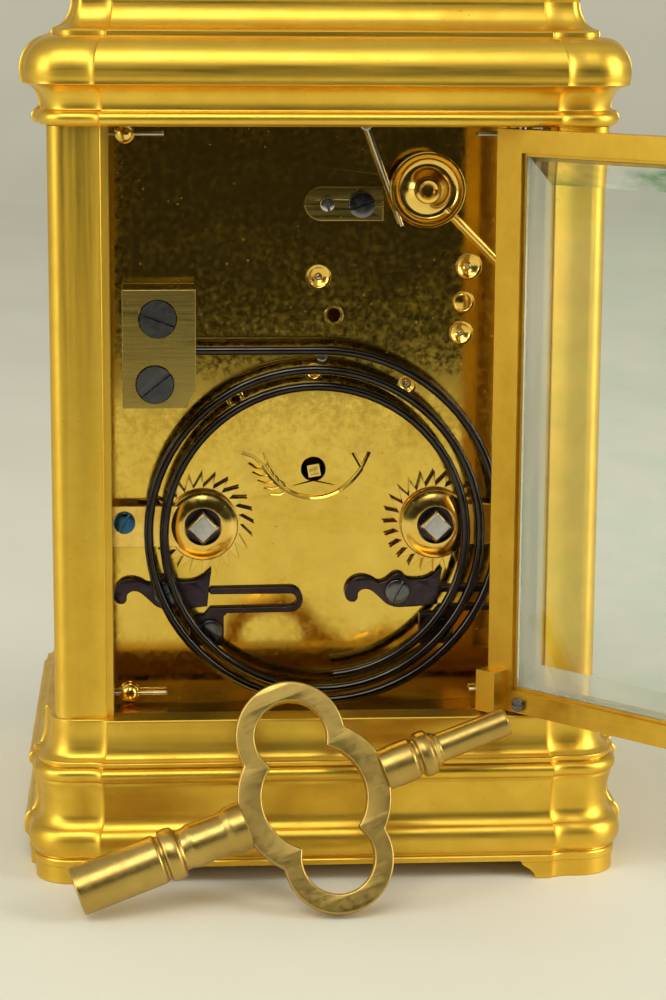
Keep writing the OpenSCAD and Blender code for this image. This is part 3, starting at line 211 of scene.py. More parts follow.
M = {
    "gilt": metal("gilt_moulding", *GILT, rough=0.36, brush=HORIZONTAL, grain=0.35),
    "gilt_up": metal("gilt_column", *GILT, rough=0.38, brush=VERTICAL, grain=0.3),
    "gilt_door": metal("gilt_door", *DOOR_GILT, rough=0.36, brush=EVEN, grain=0.8, marks=0.2),
    "plate": metal("polished_plate", *PLATE, rough=0.10, brush=EVEN, grain=0.05, marks=0.2),
    "brass": metal("polished_brass", *BRASS, rough=0.15, brush=EVEN, grain=0.5),
    "block": metal("yellow_block", *YELLOW, rough=0.22, brush=HORIZONTAL, grain=0.7, marks=0.5),
    "floor_brass": metal("floor_plate", *FLOOR_BRASS, rough=0.2, brush=HORIZONTAL, grain=0.6, marks=0.6),
    "key": metal("aged_key_brass", *KEY_BRASS, rough=0.34, brush=EVEN, grain=0.8, marks=0.15, edge=0.8),
    "steel": metal("polished_steel", *STEEL, rough=0.20, brush=EVEN, grain=0.8, marks=0.5),
    "screw": metal("dark_screw_steel", *DARK_STEEL, rough=0.22, brush=EVEN, grain=0.8, marks=0.5),
    "blue_screw": metal("blue_screw_steel", *BLUE_STEEL, rough=0.18, brush=EVEN, grain=0.6, marks=0.4),
    "gong": metal("blued_gong_wire", *GONG_STEEL, rough=0.16, brush=EVEN, grain=0.5, marks=0.5),
    "click": metal("brown_blued_steel", *CLICK_STEEL, rough=0.30, brush=EVEN, grain=1.0, marks=0.5),
    "glass": glass_material("clear_glass", rgb(0.90, 0.97, 0.93), 0.0),
    "door_glass": glass_material("bevelled_door_glass", rgb(0.86, 0.96, 0.90), 0.0),
    # the green bevel glass is the glass's real green tint darkened as painted shade; the pale bevel glass
    # is a painted highlight
    "green_shade_bevel": glass_material("green_bevel_painted_shade", rgb(0.05, 0.22, 0.05), 0.03),
    "pale_highlight_bevel": painted_highlight_glass_material("bright_bevel_painted_highlight"),
    "enamel": enamel_material("dial_enamel", rgb(0.88, 0.87, 0.82), rgb(0.80, 0.78, 0.70), 0.15),
    "ink": enamel_material("numeral_enamel", rgb(0.02, 0.02, 0.025), rgb(0.04, 0.035, 0.03), 0.25),
}


# ---------------------------------------------------------------- mesh building, in millimetres

def add_object(name, data):
    o = bpy.data.objects.new(name, data)
    bpy.context.scene.collection.objects.link(o)
    return o


def build(name, bm, mat, body, nodes=(), smooth=30.0, bevel=0.0, segs=2,
          bevel_angle=35.0, place=None):
    """Turns a bmesh in millimetres into a finished piece that rides on a body."""
    if place is not None:
        bm.transform(place)
    bm.transform(Matrix.Scale(MM, 4))
    me = bpy.data.meshes.new(name)
    bm.to_mesh(me)
    bm.free()
    o = add_object(name, me)
    return finish_piece(o, mat, body, nodes, smooth, bevel, segs, bevel_angle)


def finish_piece(o, mat, body, nodes, smooth, bevel, segs, bevel_angle):
    """Bevels, shades and colours a piece, gives it its body and hides the nodes it stands for."""
    if bevel:
        b = o.modifiers.new("edge", "BEVEL")
        b.width, b.segments, b.limit_method = bevel * MM, segs, "ANGLE"
        b.angle_limit = math.radians(bevel_angle)
        b.use_clamp_overlap = True
        bake_modifiers(o)
    o.data.materials.clear()
    o.data.materials.append(M[mat])
    o.data.shade_smooth()
    o.data.set_sharp_from_angle(angle=math.radians(smooth))
    w = o.modifiers.new("flat_faces", "WEIGHTED_NORMAL")
    w.weight, w.keep_sharp = 100, True
    bake_modifiers(o)
    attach(o, body)
    if nodes:
        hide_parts(*nodes)
    return o


def bake_modifiers(o):
    dg = bpy.context.evaluated_depsgraph_get()
    made = bpy.data.meshes.new_from_object(o.evaluated_get(dg))
    o.modifiers.clear()
    o.data = made


def refined(name, nodes, mat, body, bevel=0.1, smooth=30.0, segs=2, bevel_angle=35.0):
    """The CAD nodes' own shape with clean faces and softened edges."""
    bm = bmesh.new()
    for n in nodes:
        bm.from_mesh(NODES[n].data)
    bmesh.ops.remove_doubles(bm, verts=bm.verts, dist=2e-6)
    bmesh.ops.dissolve_limit(bm, angle_limit=math.radians(0.6), verts=bm.verts, edges=bm.edges)
    bm.transform(Matrix.Scale(1 / MM, 4))
    return build(name, bm, mat, body, nodes, smooth, bevel, segs, bevel_angle)


def temp_object(bm):
    me = bpy.data.meshes.new("cutter")
    bm.to_mesh(me)
    bm.free()
    return add_object("cutter", me)


def carve(bm, cutters, operation="DIFFERENCE"):
    """Cuts a bmesh with others by exact booleans and returns the new bmesh."""
    base = temp_object(bm)
    tools = [temp_object(c) for c in cutters]
    for c in tools:
        m = base.modifiers.new("cut", "BOOLEAN")
        m.operation, m.object, m.solver = operation, c, "EXACT"
    dg = bpy.context.evaluated_depsgraph_get()
    out = bmesh.new()
    out.from_mesh(base.evaluated_get(dg).to_mesh())
    for o in [base, *tools]:
        bpy.data.objects.remove(o)
    return out


def box_bm(lo, hi):
    bm = bmesh.new()
    bmesh.ops.create_cube(bm, size=1)
    size = Vector(hi) - Vector(lo)
    bm.transform(Matrix.Translation((Vector(lo) + Vector(hi)) / 2) @ Matrix.Diagonal((*size, 1)))
    return bm


def polar(radius, degrees):
    return radius * math.cos(math.radians(degrees)), radius * math.sin(math.radians(degrees))


def arc(cx, cy, rx, ry, a0, a1, n):
    """n + 1 points on an ellipse's arc between two angles in degrees."""
    turns = [math.radians(a0 + (a1 - a0) * i / n) for i in range(n + 1)]
    return [(cx + rx * math.cos(a), cy + ry * math.sin(a)) for a in turns]


def circle(cx, cz, r, n=48):
    return arc(cx, cz, r, r, 0, 360, n)[:-1]


def rect(x0, z0, x1, z1):
    return [(x0, z0), (x1, z0), (x1, z1), (x0, z1)]


def skin(rings, closed_ends=True):
    """Joins rings of equal point count into a closed surface."""
    bm = bmesh.new()
    rows = [[bm.verts.new(p) for p in ring] for ring in rings]
    n = len(rows[0])
    for a, b in zip(rows, rows[1:]):
        for i in range(n):
            j = (i + 1) % n
            bm.faces.new((a[i], a[j], b[j], b[i]))
    if closed_ends:
        bm.faces.new(list(reversed(rows[0])))
        bm.faces.new(rows[-1])
    bmesh.ops.recalc_face_normals(bm, faces=bm.faces)
    return bm


def lathe(points, segments=64):
    """Turned shape about local Z from (radius, height) points; ends at radius 0 close to a point."""
    bm = bmesh.new()
    rows = []
    for r, z in points:
        if r < 1e-6:
            rows.append([bm.verts.new((0, 0, z))])
        else:
            rows.append([bm.verts.new((x, y, z)) for x, y in circle(0, 0, r, segments)])
    for a, b in zip(rows, rows[1:]):
        for k in range(segments):
            j = (k + 1) % segments
            if len(a) == 1 and len(b) == 1:
                continue
            if len(a) == 1:
                bm.faces.new((a[0], b[j], b[k]))
            elif len(b) == 1:
                bm.faces.new((a[k], a[j], b[0]))
            else:
                bm.faces.new((a[k], a[j], b[j], b[k]))
    if len(rows[0]) > 1:
        bm.faces.new(list(reversed(rows[0])))
    if len(rows[-1]) > 1:
        bm.faces.new(rows[-1])
    bmesh.ops.recalc_face_normals(bm, faces=bm.faces)
    return bm


def rounded(points, r=0.12, n=3):
    """Rounds the corners of an open profile of (a, b) points."""
    out = [points[0]]
    for p, q, s in zip(points, points[1:], points[2:]):
        p, q, s = Vector(p), Vector(q), Vector(s)
        u, v = (p - q), (s - q)
        if u.length < 1e-6 or v.length < 1e-6 or u.angle(v) > math.radians(165):
            out.append(tuple(q))
            continue
        d = min(r, u.length * 0.45, v.length * 0.45)
        a, b = q + u.normalized() * d, q + v.normalized() * d
        for k in range(n + 1):
            w = k / n
            out.append(tuple(a.lerp(q, w).lerp(q.lerp(b, w), w)))
    return out + [points[-1]]


def merge(*parts):
    out = bmesh.new()
    for bm in parts:
        me = bpy.data.meshes.new("part")
        bm.to_mesh(me)
        bm.free()
        out.from_mesh(me)
        bpy.data.meshes.remove(me)
    return out


def moved(bm, m):
    bm.transform(m)
    return bm


def sweep(points, radius, segments=18, radii=None):
    """A round tube along points."""
    pts = [Vector(p) for p in points]
    t0 = (pts[1] - pts[0]).normalized()
    side = t0.orthogonal().normalized()
    rings = []
    for i, p in enumerate(pts):
        t = (pts[min(i + 1, len(pts) - 1)] - pts[max(i - 1, 0)]).normalized()
        side = (side - t * side.dot(t)).normalized()
        up = t.cross(side)
        r = radii[i] if radii else radius
        rings.append([p + side * u + up * v for u, v in circle(0, 0, r, segments)])
    return skin(rings)


def sheet_xz(loops, y0, y1, bevel=0.1, segs=2):
    """A plate from closed loops of (x, z) points between two y values; inner loops are holes."""
    cu = bpy.data.curves.new("loops", "CURVE")
    cu.dimensions, cu.fill_mode = "2D", "BOTH"
    for loop in loops:
        sp = cu.splines.new("POLY")
        sp.points.add(len(loop) - 1)
        for p, (x, z) in zip(sp.points, loop):
            p.co = (x, z, 0, 1)
        sp.use_cyclic_u = True
    cu.extrude = (y1 - y0) / 2 - bevel
    cu.bevel_depth, cu.bevel_resolution, cu.offset = bevel, segs, -bevel
    o = add_object("loops", cu)
    me = bpy.data.meshes.new_from_object(o.evaluated_get(bpy.context.evaluated_depsgraph_get()))
    bm = bmesh.new()
    bm.from_mesh(me)
    bpy.data.objects.remove(o)
    bmesh.ops.remove_doubles(bm, verts=bm.verts, dist=1e-4)
    bm.transform(Matrix.Translation((0, (y0 + y1) / 2, 0)) @ Matrix.Rotation(math.radians(90), 4, "X"))
    bmesh.ops.recalc_face_normals(bm, faces=bm.faces)
    return bm


def smooth_loop(points, steps=6):
    """Catmull-Rom curve through an open run of points."""
    last = len(points) - 1
    out = []
    for i in range(last):
        p = [Vector(points[min(max(i + k - 1, 0), last)]) for k in range(4)]
        for s in range(steps):
            t = s / steps
            slope = (p[2] - p[0]) * t
            bend = (2 * p[0] - 5 * p[1] + 4 * p[2] - p[3]) * t * t
            twist = (3 * p[1] - p[0] - 3 * p[2] + p[3]) * t ** 3
            out.append(tuple(0.5 * (2 * p[1] + slope + bend + twist)))
    return out + [tuple(points[-1])]


def along_y(x, y, z):
    """Places a lathe made about Z so that its height runs along +Y from (x, y, z)."""
    return Matrix.Translation((x, y, z)) @ Matrix.Rotation(math.radians(-90), 4, "X")


# ---------------------------------------------------------------- case

HW, HD = 42.7, 36.5  # half width and half depth over the columns
BASE_TOP, CORNICE, TOP = 26.0, 117.8, 139.5
COLUMN = 9.2
OPEN_X, OPEN_Y = HW - COLUMN, HD - COLUMN
WALL_X, LIP_Y, FLOOR = 37.0, HD - 3.1, 22.0


def case_outline(e):
    """Plan of the case at an overhang e: a round corner between two hollows."""
    xc, yc = HW - 8.5 + 0.35 * e, HD - 8.5 + 0.35 * e
    hollow, corner = 3.2, 4 + 0.6 * e
    quarter = arc(HW + e + 1, yc + hollow, 1, hollow, 270, 180, 9)
    quarter += arc(HW + e - corner, HD + e - corner, corner, corner, 0, 90, 12)
    quarter += arc(xc + hollow, HD + e + 1, hollow, 1, 270, 180, 9)
    return (
        quarter
        + [(-x, y) for x, y in reversed(quarter)]
        + [(-x, -y) for x, y in quarter]
        + [(x, -y) for x, y in reversed(quarter)]
    )


def moulding(profile):
    return skin([[(x, y, z) for x, y in case_outline(e)] for e, z in profile])


base_profile = (
    [(3.2, 0.0), (3.35, 0.2), (3.4, 2.7), (3.6, 2.9), (3.65, 3.8), (3.55, 4.0), (3.28, 4.15), (3.26, 4.35)]
    + arc(2.9, 6.7, 1.5, 2.4, -70, 70, 20)
    + arc(4.4, 11.4, 2.05, 2.9, 236, 184, 10)
    + arc(3.45, 11.4, 1.1, 5.2, 176, 116, 10)
    + arc(2.55, 17.6, 0.95, 1.15, -66, 70, 14)
    + [(2.5, 18.8), (2.5, 18.92), (2.68, 18.98), (2.72, 19.08)]
    + [(2.72, 19.55), (2.66, 19.65), (2.2, 19.72), (2.1, 19.8)]
    + arc(2.05, 24.2, 1.25, 4.25, 264, 184, 16)
    + [(0.8, 25.5), (0.74, 25.85), (0.6, 26.0)]
)
ogee = [(30.4, 3.02), (30.8, 2.3), (31.9, 1.6), (32.6, 0.9), (32.8, 0.3), (32.8, -1.0)]
foot_gap_x = ogee + [(-x, z) for x, z in reversed(ogee)]
foot_gap_y = [(x - 6.0, z) for x, z in ogee] + [(-x + 6.0, z) for x, z in reversed(ogee)]


def gap_prism(outline, along):
    """A long prism that cuts the gap between two feet."""
    bm = skin([[(x, y, z) for x, z in outline] for y in (-60.0, 60.0)])
    if along == "X":
        bm.transform(Matrix.Rotation(math.radians(90), 4, "Z"))
    return bm


base = carve(
    moulding(base_profile),
    [
        gap_prism(foot_gap_x, "Y"),
        gap_prism(foot_gap_y, "X"),
        box_bm((-39, -33, -1), (39, 33, 20.5)),
        box_bm((-WALL_X, -OPEN_Y, 15), (WALL_X, OPEN_Y, 30)),
        box_bm((-OPEN_X, -LIP_Y, FLOOR), (OPEN_X, LIP_Y, 30)),
    ],
)
build("base_shell", base, "gilt", "case", ["base_moulding"], smooth=24, bevel=0.12, bevel_angle=50)

cornice_profile = (
    [(0.0, CORNICE), (0.35, CORNICE + 0.02)]
    + arc(0.5, CORNICE + 1.15, 1.0, 1.1, -70, 82, 14)
    + [(0.36, 120.14), (0.3, 120.35)]
    + arc(2.9, 120.6, 2.6, 3.3, 178, 97, 16)
    + [(2.8, 123.95), (2.98, 124.0), (3.05, 124.1)]
    + arc(-1.2, 125.9, 4.4, 5.1, -16, 84, 26)
    + [(-1.3, 131.02), (-1.55, 131.06), (-1.6, 131.12), (-1.62, 131.8), (-1.72, 131.95)]
    + arc(-1.6, 136.6, 3.1, 4.5, 264, 184, 16)
    + [(-4.5, 136.85), (-4.2, 136.95)]
    + arc(-4.6, 138.1, 0.7, 0.9, -60, 60, 10)
    + [(-4.6, 139.0), (-5.0, 139.35), (-5.3, TOP)]
)
cornice = carve(
    moulding(cornice_profile),
    [
        box_bm((-WALL_X, -OPEN_Y, 110), (WALL_X, OPEN_Y, 122)),
        box_bm((-OPEN_X, -LIP_Y, 110), (OPEN_X, LIP_Y, 122)),
        box_bm((-34, -28, 115), (34, 28, 135.1)),
        box_bm((-27.5, -22.5, 134), (27.5, 22.5, 138.1)),
        box_bm((-25.5, -20.5, 134), (25.5, 20.5, 145)),
    ],
)
build("cornice_shell", cornice, "gilt", "case", ["cornice"], smooth=24, bevel=0.12, bevel_angle=50)


def column_plan(front):
    """Corner column seen from above, from its outer corner at the origin."""
    cut_r, cut_d, edge = 9.0, 0.4, 2.4
    half = math.degrees(math.acos((cut_r - cut_d) / cut_r))
    out = [(-COLUMN, -0.8), (-COLUMN + 1.1, -0.8), (-COLUMN + 1.1, -0.1), (-COLUMN + 1.2, 0.0)]
    out += arc(-5.2, cut_r - cut_d, cut_r, cut_r, -90 - half, -90 + half, 16)
    out += arc(-edge, -edge, edge, edge, 90, 0, 14)
    out += arc(cut_r - cut_d, -5.2, cut_r, cut_r, 180 - half, 180 + half, 16)
    out += [(0.0, -COLUMN + 1.2), (-0.1, -COLUMN + 1.1), (-0.8, -COLUMN + 1.1), (-0.8, -COLUMN)]
    g0, g1 = 37.35 - HW, 40.15 - HW
    out += [(g1, -COLUMN), (g1, -COLUMN + 1.8), (g0, -COLUMN + 1.8), (g0, -COLUMN), (-COLUMN, -COLUMN)]
    if front:
        f0, f1 = 33.45 - HD, 35.35 - HD
        out += [(-COLUMN, f0), (-COLUMN + 1.8, f0), (-COLUMN + 1.8, f1), (-COLUMN, f1)]
    return out


for front, sy in (("front", -1), ("rear", 1)):
    for side, sx in (("left", -1), ("right", 1)):
        corner = front + "_" + side
        plan = [(sx * (HW + x), sy * (HD + y)) for x, y in column_plan(sy < 0)]
        bm = skin([[(x, y, z) for x, y in plan] for z in (BASE_TOP, CORNICE)])
        build("column_" + corner + "_gilt", bm, "gilt_up", "case", ["column_" + corner], smooth=24,
              bevel=0.1, bevel_angle=40)

refined("floor_plate", ["case_floor"], "floor_brass", "case", 0.1)


# ---------------------------------------------------------------- rear door

DOOR_OPEN = Matrix.Rotation(math.radians(133.5), 3, "Z")
refined("door_frame_gilt", ["door_frame"], "gilt_door", "door", 0.14, segs=3)


def bevelled_pane():
    """The door's pane, its top bevel in a dark green glass as painted shade and the others in a pale,
    milky glass as painted highlight.
    """
    bm = bmesh.new()
    bm.from_mesh(NODES["door_glass"].data)
    bmesh.ops.remove_doubles(bm, verts=bm.verts, dist=2e-6)
    bm.transform(Matrix.Scale(1 / MM, 4))
    o = build("door_pane_bevelled", bm, "door_glass", "door", ["door_glass"], smooth=5)
    o.data.materials.append(M["green_shade_bevel"])
    o.data.materials.append(M["pale_highlight_bevel"])
    # painted light by facing: the top bevel takes the dark green glass as painted shade, the other bevels
    # the pale glass as painted highlight
    for f in o.data.polygons:
        n = DOOR_OPEN.inverted() @ f.normal
        if 0.3 < abs(n.y) < 0.998:
            f.material_index = 1 if n.z > abs(n.x) else 2


bevelled_pane()
refined("door_knob_turned", ["door_knob"], "gilt", "door", 0.06)
refined("door_corner_screw", ["door_screw"], "screw", "door", 0.06)
refined("hinge_pins", ["door_pins"], "steel", "case", 0.06)


# ---------------------------------------------------------------- movement

PLATE_Y = 13.5  # rear face of the back plate
WINDING_X = {"time": 19.1, "strike": -18.8}
WINDING_Z = 52.5
SETTING = (1.0, 61.2)
HAMMER = (-16.6, 107.0)
PILLARS = [(x, z) for x in (-31.2, 31.2) for z in (24.0, 115.5)]
RATCHET_Y = (13.8, 15.2)
CLICK_X, CLICK_Z = 6.0, 41.0  # a click's pivot, its x from its winding square
SPRING_Z = 34.5  # the screw in a click spring's foot
WIRE_Y = 18.5  # middle of the gong's wire and of the hammer's rod
holes = {  # x, z, radius of the sink, radius of the hole
    "contrate": (0.3, 92.6, 2.1, 0.5),
    "detent": (-2.2, 86.4, 1.6, 1.2),
    "fly": (-24.0, 94.3, 2.2, 0.5),
    "plug": (-23.2, 88.5, 1.85, 0.0),
    "locking": (-22.9, 83.5, 2.0, 0.5),
    "pin": (-14.2, 75.0, 1.6, 0.5),
    "third": (1.0, 77.2, 1.5, 0.5),
    "spare": (13.7, 72.8, 1.5, 0.7),
}


def on_plate(bm, x, z, y=PLATE_Y):
    """Puts a shape made about Z on the back plate, its height towards the door."""
    return moved(bm, along_y(x, y, z))


def engraved_arrow():
    """Groove cutters for a curved, feathered arrow under the hand-setting square."""
    centre = Vector((1.0, 66.3))
    spine = []
    for a in range(212, 334, 4):
        spine.append(centre + Vector(polar(9.6 + 0.25 * math.sin(math.radians(3 * a)), a)))
    grooves = [(spine, 0.42)]
    tip, tail = spine[0], spine[-1]
    for turn in (60, 115):
        barb = Vector(polar(1, turn))
        grooves.append(([tip, tip + barb * 1.3, tip + barb * 2.9], 0.34))
    for root in spine[-2:-12:-2]:
        out = (root - centre).normalized()
        along = Vector((-out.y, out.x))
        outer = [root, root + out * 1.1 + along * 0.8, root + out * 1.7 + along * 2.2]
        inner = [root, root - out * 0.9 + along * 1.0, root - out * 1.2 + along * 2.3]
        grooves += [(outer, 0.27), (inner, 0.25)]
    grooves.append(([tail, tail + Vector((1.6, 1.4)), tail + Vector((3.4, 2.0))], 0.3))
    return [sweep([(x, PLATE_Y + 0.08, z) for x, z in path], width, 8) for path, width in grooves]


def back_plate():
    """The plate with its through holes, and cup-shaped sinks round the pivots."""
    loops = [rect(-34, FLOOR, 34, 118), circle(*SETTING, 2.0), circle(*HAMMER, 1.15)]
    loops += [circle(x, WINDING_Z, 2.16) for x in WINDING_X.values()]
    loops += [circle(x, z, max(h, 0.3), 32) for x, z, r, h in holes.values()]
    loops += [circle(x, z, 1.55, 32) for x, z in PILLARS]
    bm = sheet_xz(loops, PLATE_Y - 1.8, PLATE_Y, 0.08)
    sinks = []
    for x, z, r, h in holes.values():
        sinks.append(on_plate(lathe([(r, 0.5), (r, -0.35), (r * 0.55, -0.75), (0, -0.85)], 40), x, z))
    return carve(bm, sinks + engraved_arrow())


build("back_plate_polished", back_plate(), "plate", "case", ["back_plate"], smooth=25)


def bushing(kind, r):
    """Ring or cup pressed into a sink of radius r, about Z."""
    if kind in ("detent", "spare"):
        dish = [(r - 0.03, -0.9), (r - 0.03, 0.02), (r - 0.12, 0.1)]
        dish += [(r - 0.4, 0.1), (r - 0.5, 0.0), (r - 0.55, -0.9)]
        return skin([[(x, y, h) for x, y in circle(0, 0, q, 40)] for q, h in dish], closed_ends=False)
    dish = [(r - 0.03, -0.6), (r - 0.03, 0.0), (r - 0.1, 0.08), (r - 0.35, 0.08), (r - 0.5, -0.02)]
    if kind == "plug":
        dish += [(r * 0.55, 0.12), (0, 0.16)]
    else:
        dish += [(r * 0.5, -0.32), (0.62, -0.42), (0.52, -0.5), (0.52, -0.62)]
    return lathe(dish, 40)


bushes = [on_plate(bushing(kind, r), x, z) for kind, (x, z, r, h) in holes.items()]
build("pivot_bushings", merge(*bushes), "brass", "case", smooth=35)

pivots = []
for kind in ("contrate", "fly", "locking", "pin", "third"):
    end = lathe(rounded([(0.46, -1.5), (0.46, -0.3), (0.3, -0.12), (0, -0.08)], 0.08), 20)
    pivots.append(on_plate(end, *holes[kind][:2]))
build("pivot_ends", merge(*pivots), "steel", "case", smooth=40)

shaft = [(0, -34.7), (1.95, -34.7), (1.95, -20), (1.7, -18), (1.7, -15), (1.95, -13)]
shaft += [(1.95, -1.8), (0, -1.8)]
front_end = [(0, -37.5), (1.55, -37.5), (1.55, -34.7), (0, -34.7)]
ends = []
for x, z in PILLARS:
    rear_end = [(1.5, -1.9), (1.5, 0.0)] + arc(0.05, 0.75, 1.55, 1.45, -25, 88, 12) + [(0, 2.2)]
    ends.append(on_plate(lathe(rear_end, 36), x, z))
    ends.append(on_plate(lathe(rounded(shaft, 0.3), 40), x, z))
    ends.append(on_plate(lathe(rounded(front_end, 0.3), 32), x, z))
build("pillar_ends", merge(*ends), "brass", "case", ["movement_pillars"], smooth=35)
refined("taper_pins_steel", ["taper_pins"], "steel", "case", 0.05, smooth=40)

refined("gong_block_brass", ["gong_block"], "block", "case", 0.12)
refined("gong_screws_steel", ["gong_screws"], "screw", "case", 0.12, segs=3)


def gong_points():
    """Middle of the wire: a straight lead, then quarter turns that each lose a little radius."""
    cx, cz, r = 0.0, 52.4, 29.0
    lead = 26.7
    pts = [(lead * (1 - i / 10), WIRE_Y, cz + r) for i in range(10)]
    for k, loss in enumerate([0, 0.1, 0.9, 1.2, -0.3, 1.3, 0.2, 1.0, 0.2, 0.9]):
        inward = polar(loss, 90 + 90 * k)
        cx, cz, r = cx + inward[0], cz + inward[1], r - loss
        pts += [(x, WIRE_Y, z) for x, z in arc(cx, cz, r, r, 90 + 90 * k, 180 + 90 * k, 18)[:-1]]
    return pts


build("gong_coil", sweep(gong_points(), 0.75, 20), "gong", "case", ["gong"], smooth=60)


def cock(x, side, end):
    """Winding cock: a dished round boss on a bar with a raised foot."""
    y0, z0, z1 = PLATE_Y + 2.0, WINDING_Z - 3.4, WINDING_Z + 3.4
    foot_x = end - side * 4.3
    bar = sheet_xz([rect(min(x, end), z0, max(x, end), z1)], y0, y0 + 1.5, 0.12)
    foot = box_bm((min(end, foot_x), PLATE_Y, z0), (max(end, foot_x), y0 + 0.1, z1))
    profile = [(0, 0.02), (5.5, 0.02), (5.7, 0.2), (5.7, 1.25), (5.55, 1.42), (5.2, 1.5)]
    for i in range(1, 11):
        profile.append((5.2 - 0.22 * i, 1.5 + 0.62 * math.sin(math.radians(9 * i))))
    profile += [(3.05, 2.1), (0, 2.1)]
    boss = on_plate(lathe(profile, 72), x, WINDING_Z, y0)
    hole = on_plate(lathe([(3.1, -4), (3.1, 6)], 48), x, WINDING_Z, y0)
    return merge(carve(carve(boss, [bar], "UNION"), [hole]), foot)


for name, side, end in (("time", 1, 33.9), ("strike", -1, -33.6)):
    build(name + "_cock_brass", cock(WINDING_X[name], side, end), "brass", "case",
          [name + "_winding_cock"], smooth=28)


def slotted(r, h, stem, slot, turn, dome=0.12):
    """Slotted screw head about local Z, its underside at 0."""
    head = lathe(rounded([(0, 0), (r, 0), (r, h - dome * 0.6), (r * 0.6, h), (0, h)], 0.1), 40)
    cutter = box_bm((-r * 2, -slot / 2, h * 0.45), (r * 2, slot / 2, h * 3))
    head = carve(head, [moved(cutter, Matrix.Rotation(math.radians(turn), 4, "Z"))])
    stem_r = min(0.68, r * 0.7)
    return merge(head, lathe([(0, -stem), (stem_r, -stem), (stem_r, 0.02), (0, 0.02)], 20))


screws = [  # x, z, radius, underside y, slot turn, material
    (31.8, 53.2, 1.75, 17.0, 60, "blue_screw"),
    (-31.5, 53.2, 1.75, 17.0, 20, "blue_screw"),
    (25.1, CLICK_Z, 2.0, 15.3, 30, "screw"),
    (-12.8, CLICK_Z, 2.0, 15.3, 62, "screw"),
    (17.9, SPRING_Z, 1.9, 14.9, -25, "screw"),
    (-20.0, SPRING_Z, 1.9, 14.9, 15, "screw"),
    (-0.9, 104.5, 1.15, 15.9, -75, "steel"),
    (-6.4, 104.4, 2.1, 15.9, 20, "screw"),
    (-0.3, 79.8, 0.9, PLATE_Y, 10, "steel"),
]
for kind in ("blue_screw", "screw", "steel"):
    made = [on_plate(slotted(r, 0.8, y - PLATE_Y, 0.45, turn), x, z, y)
            for x, z, r, y, turn, mat in screws if mat == kind]
    stands_for = ["plate_screws"] if kind == "screw" else ()
    build("small_screws_" + kind, merge(*made), kind, "case", stands_for, smooth=35)


def click_loop():
    """Click with a block head, round boss and a curled tail, about its pivot."""
    head = [(-7.4, 3.8), (-7.15, 2.0), (-6.9, -0.2), (-6.7, -2.3)]
    under = [(-4.0, -2.6), (-1.4, -2.75), (0.2, -2.75), (1.7, -2.2), (3.0, -1.0), (4.4, 0.15), (5.6, 0.3)]
    curl = [(6.4, -0.3), (6.5, -1.2), (7.0, -1.75), (7.9, -1.7), (8.5, -1.0), (8.6, 0.0), (8.1, 1.2)]
    upper = [(7.0, 2.1), (5.6, 2.35), (4.2, 2.0), (3.0, 1.35), (1.8, 1.7)]
    boss = [(0.4, 2.75), (-0.8, 2.75), (-1.8, 1.9), (-3.2, 1.75), (-4.6, 1.9), (-6.0, 2.6)]
    return head + smooth_loop([head[-1]] + under + curl + upper + boss + [head[0]], 4)[1:-1]


for name, x in WINDING_X.items():
    loop = [(x + CLICK_X + a, CLICK_Z + b) for a, b in click_loop()]
    bm = sheet_xz([loop, circle(x + CLICK_X, CLICK_Z, 0.76, 28)], *RATCHET_Y, 0.12)
    build(name + "_click_steel", bm, "click", name + "_click", [name + "_click"], smooth=35)


def hairpin(cx, cz, reach):
    """Click spring: a foot, and a wire bent back over it, as a flat strip."""
    outer = [(2.2, -20.6), (2.2, -15.5), (-0.2, -15.5), (-1.2, -14.3), (-reach + 1.5, -14.1)]
    outer += arc(-reach + 1.3, -13.0, 1.1, 1.1, 270, 90, 8)[1:]
    outer += [(-1.3, -11.9), (-0.9, -11.45), (-1.3, -10.95), (-reach + 1.3, -10.8)]
    outer += arc(-reach + 1.3, -12.9, 2.1, 2.1, 90, 270, 12)[1:]
    outer += [(-4.0, -15.1), (-3.4, -15.6), (-3.4, -20.6)]
    return [(cx + x, cz + z) for x, z in outer]


springs = []
for name, reach in (("time", 15.6), ("strike", 14.6)):
    x = WINDING_X[name]
    loops = [hairpin(x, WINDING_Z, reach), circle(x - 1.2, SPRING_Z, 0.8, 28)]
    springs.append(sheet_xz(loops, PLATE_Y, 14.8, 0.12))
build("click_springs_steel", merge(*springs), "click", "case", ["click_springs"], smooth=35)


def ratchet_wheel(x):
    """Saw-tooth wheel: each tooth has a steep side and a sloping back."""
    teeth, r = 24, 8.4
    loop = []
    for i in range(teeth):
        for turn, depth in ((0, 0), (0.8, 2.35), (6.0, 1.75), (11.0, 0.9)):
            u, v = polar(r - depth, 360 / teeth * i + turn)
            loop.append((x + u, WINDING_Z + v))
    return sheet_xz([loop], *RATCHET_Y, 0.06)


def square_bar(levels, turn):
    """A square bar about Z from (half width, height) levels, turned by degrees."""
    corners = ((1, 1), (-1, 1), (-1, -1), (1, -1))
    bar = skin([[(sx * w, sy * w, h) for sx, sy in corners] for w, h in levels])
    return moved(bar, Matrix.Rotation(math.radians(turn), 4, "Z"))


for name, x in WINDING_X.items():
    winder = name + "_winder"
    build(name + "_ratchet_brass", ratchet_wheel(x), "brass", winder, [name + "_winding_arbor"],
          smooth=25)
    # painted shade: a dark steel ring in the bottom of the cock's bore stands for the shade in the hole
    # round the square
    shade_ring = lathe([(1.9, 2.1), (2.95, 2.1), (2.95, 2.5), (1.9, 2.5)], 40)
    build(name + "_painted_shade_ring", on_plate(shade_ring, x, WINDING_Z), "click", winder,
          smooth=35)
    square = square_bar(((1.9, -0.1), (1.9, 5.45), (1.55, 5.98)), 45)
    shaft = lathe([(0, -36.5), (2.1, -36.5), (2.1, 1.9), (0, 1.9)], 40)
    build(name + "_square_steel", on_plate(merge(square, shaft), x, WINDING_Z), "steel", winder,
          smooth=35, bevel=0.12)


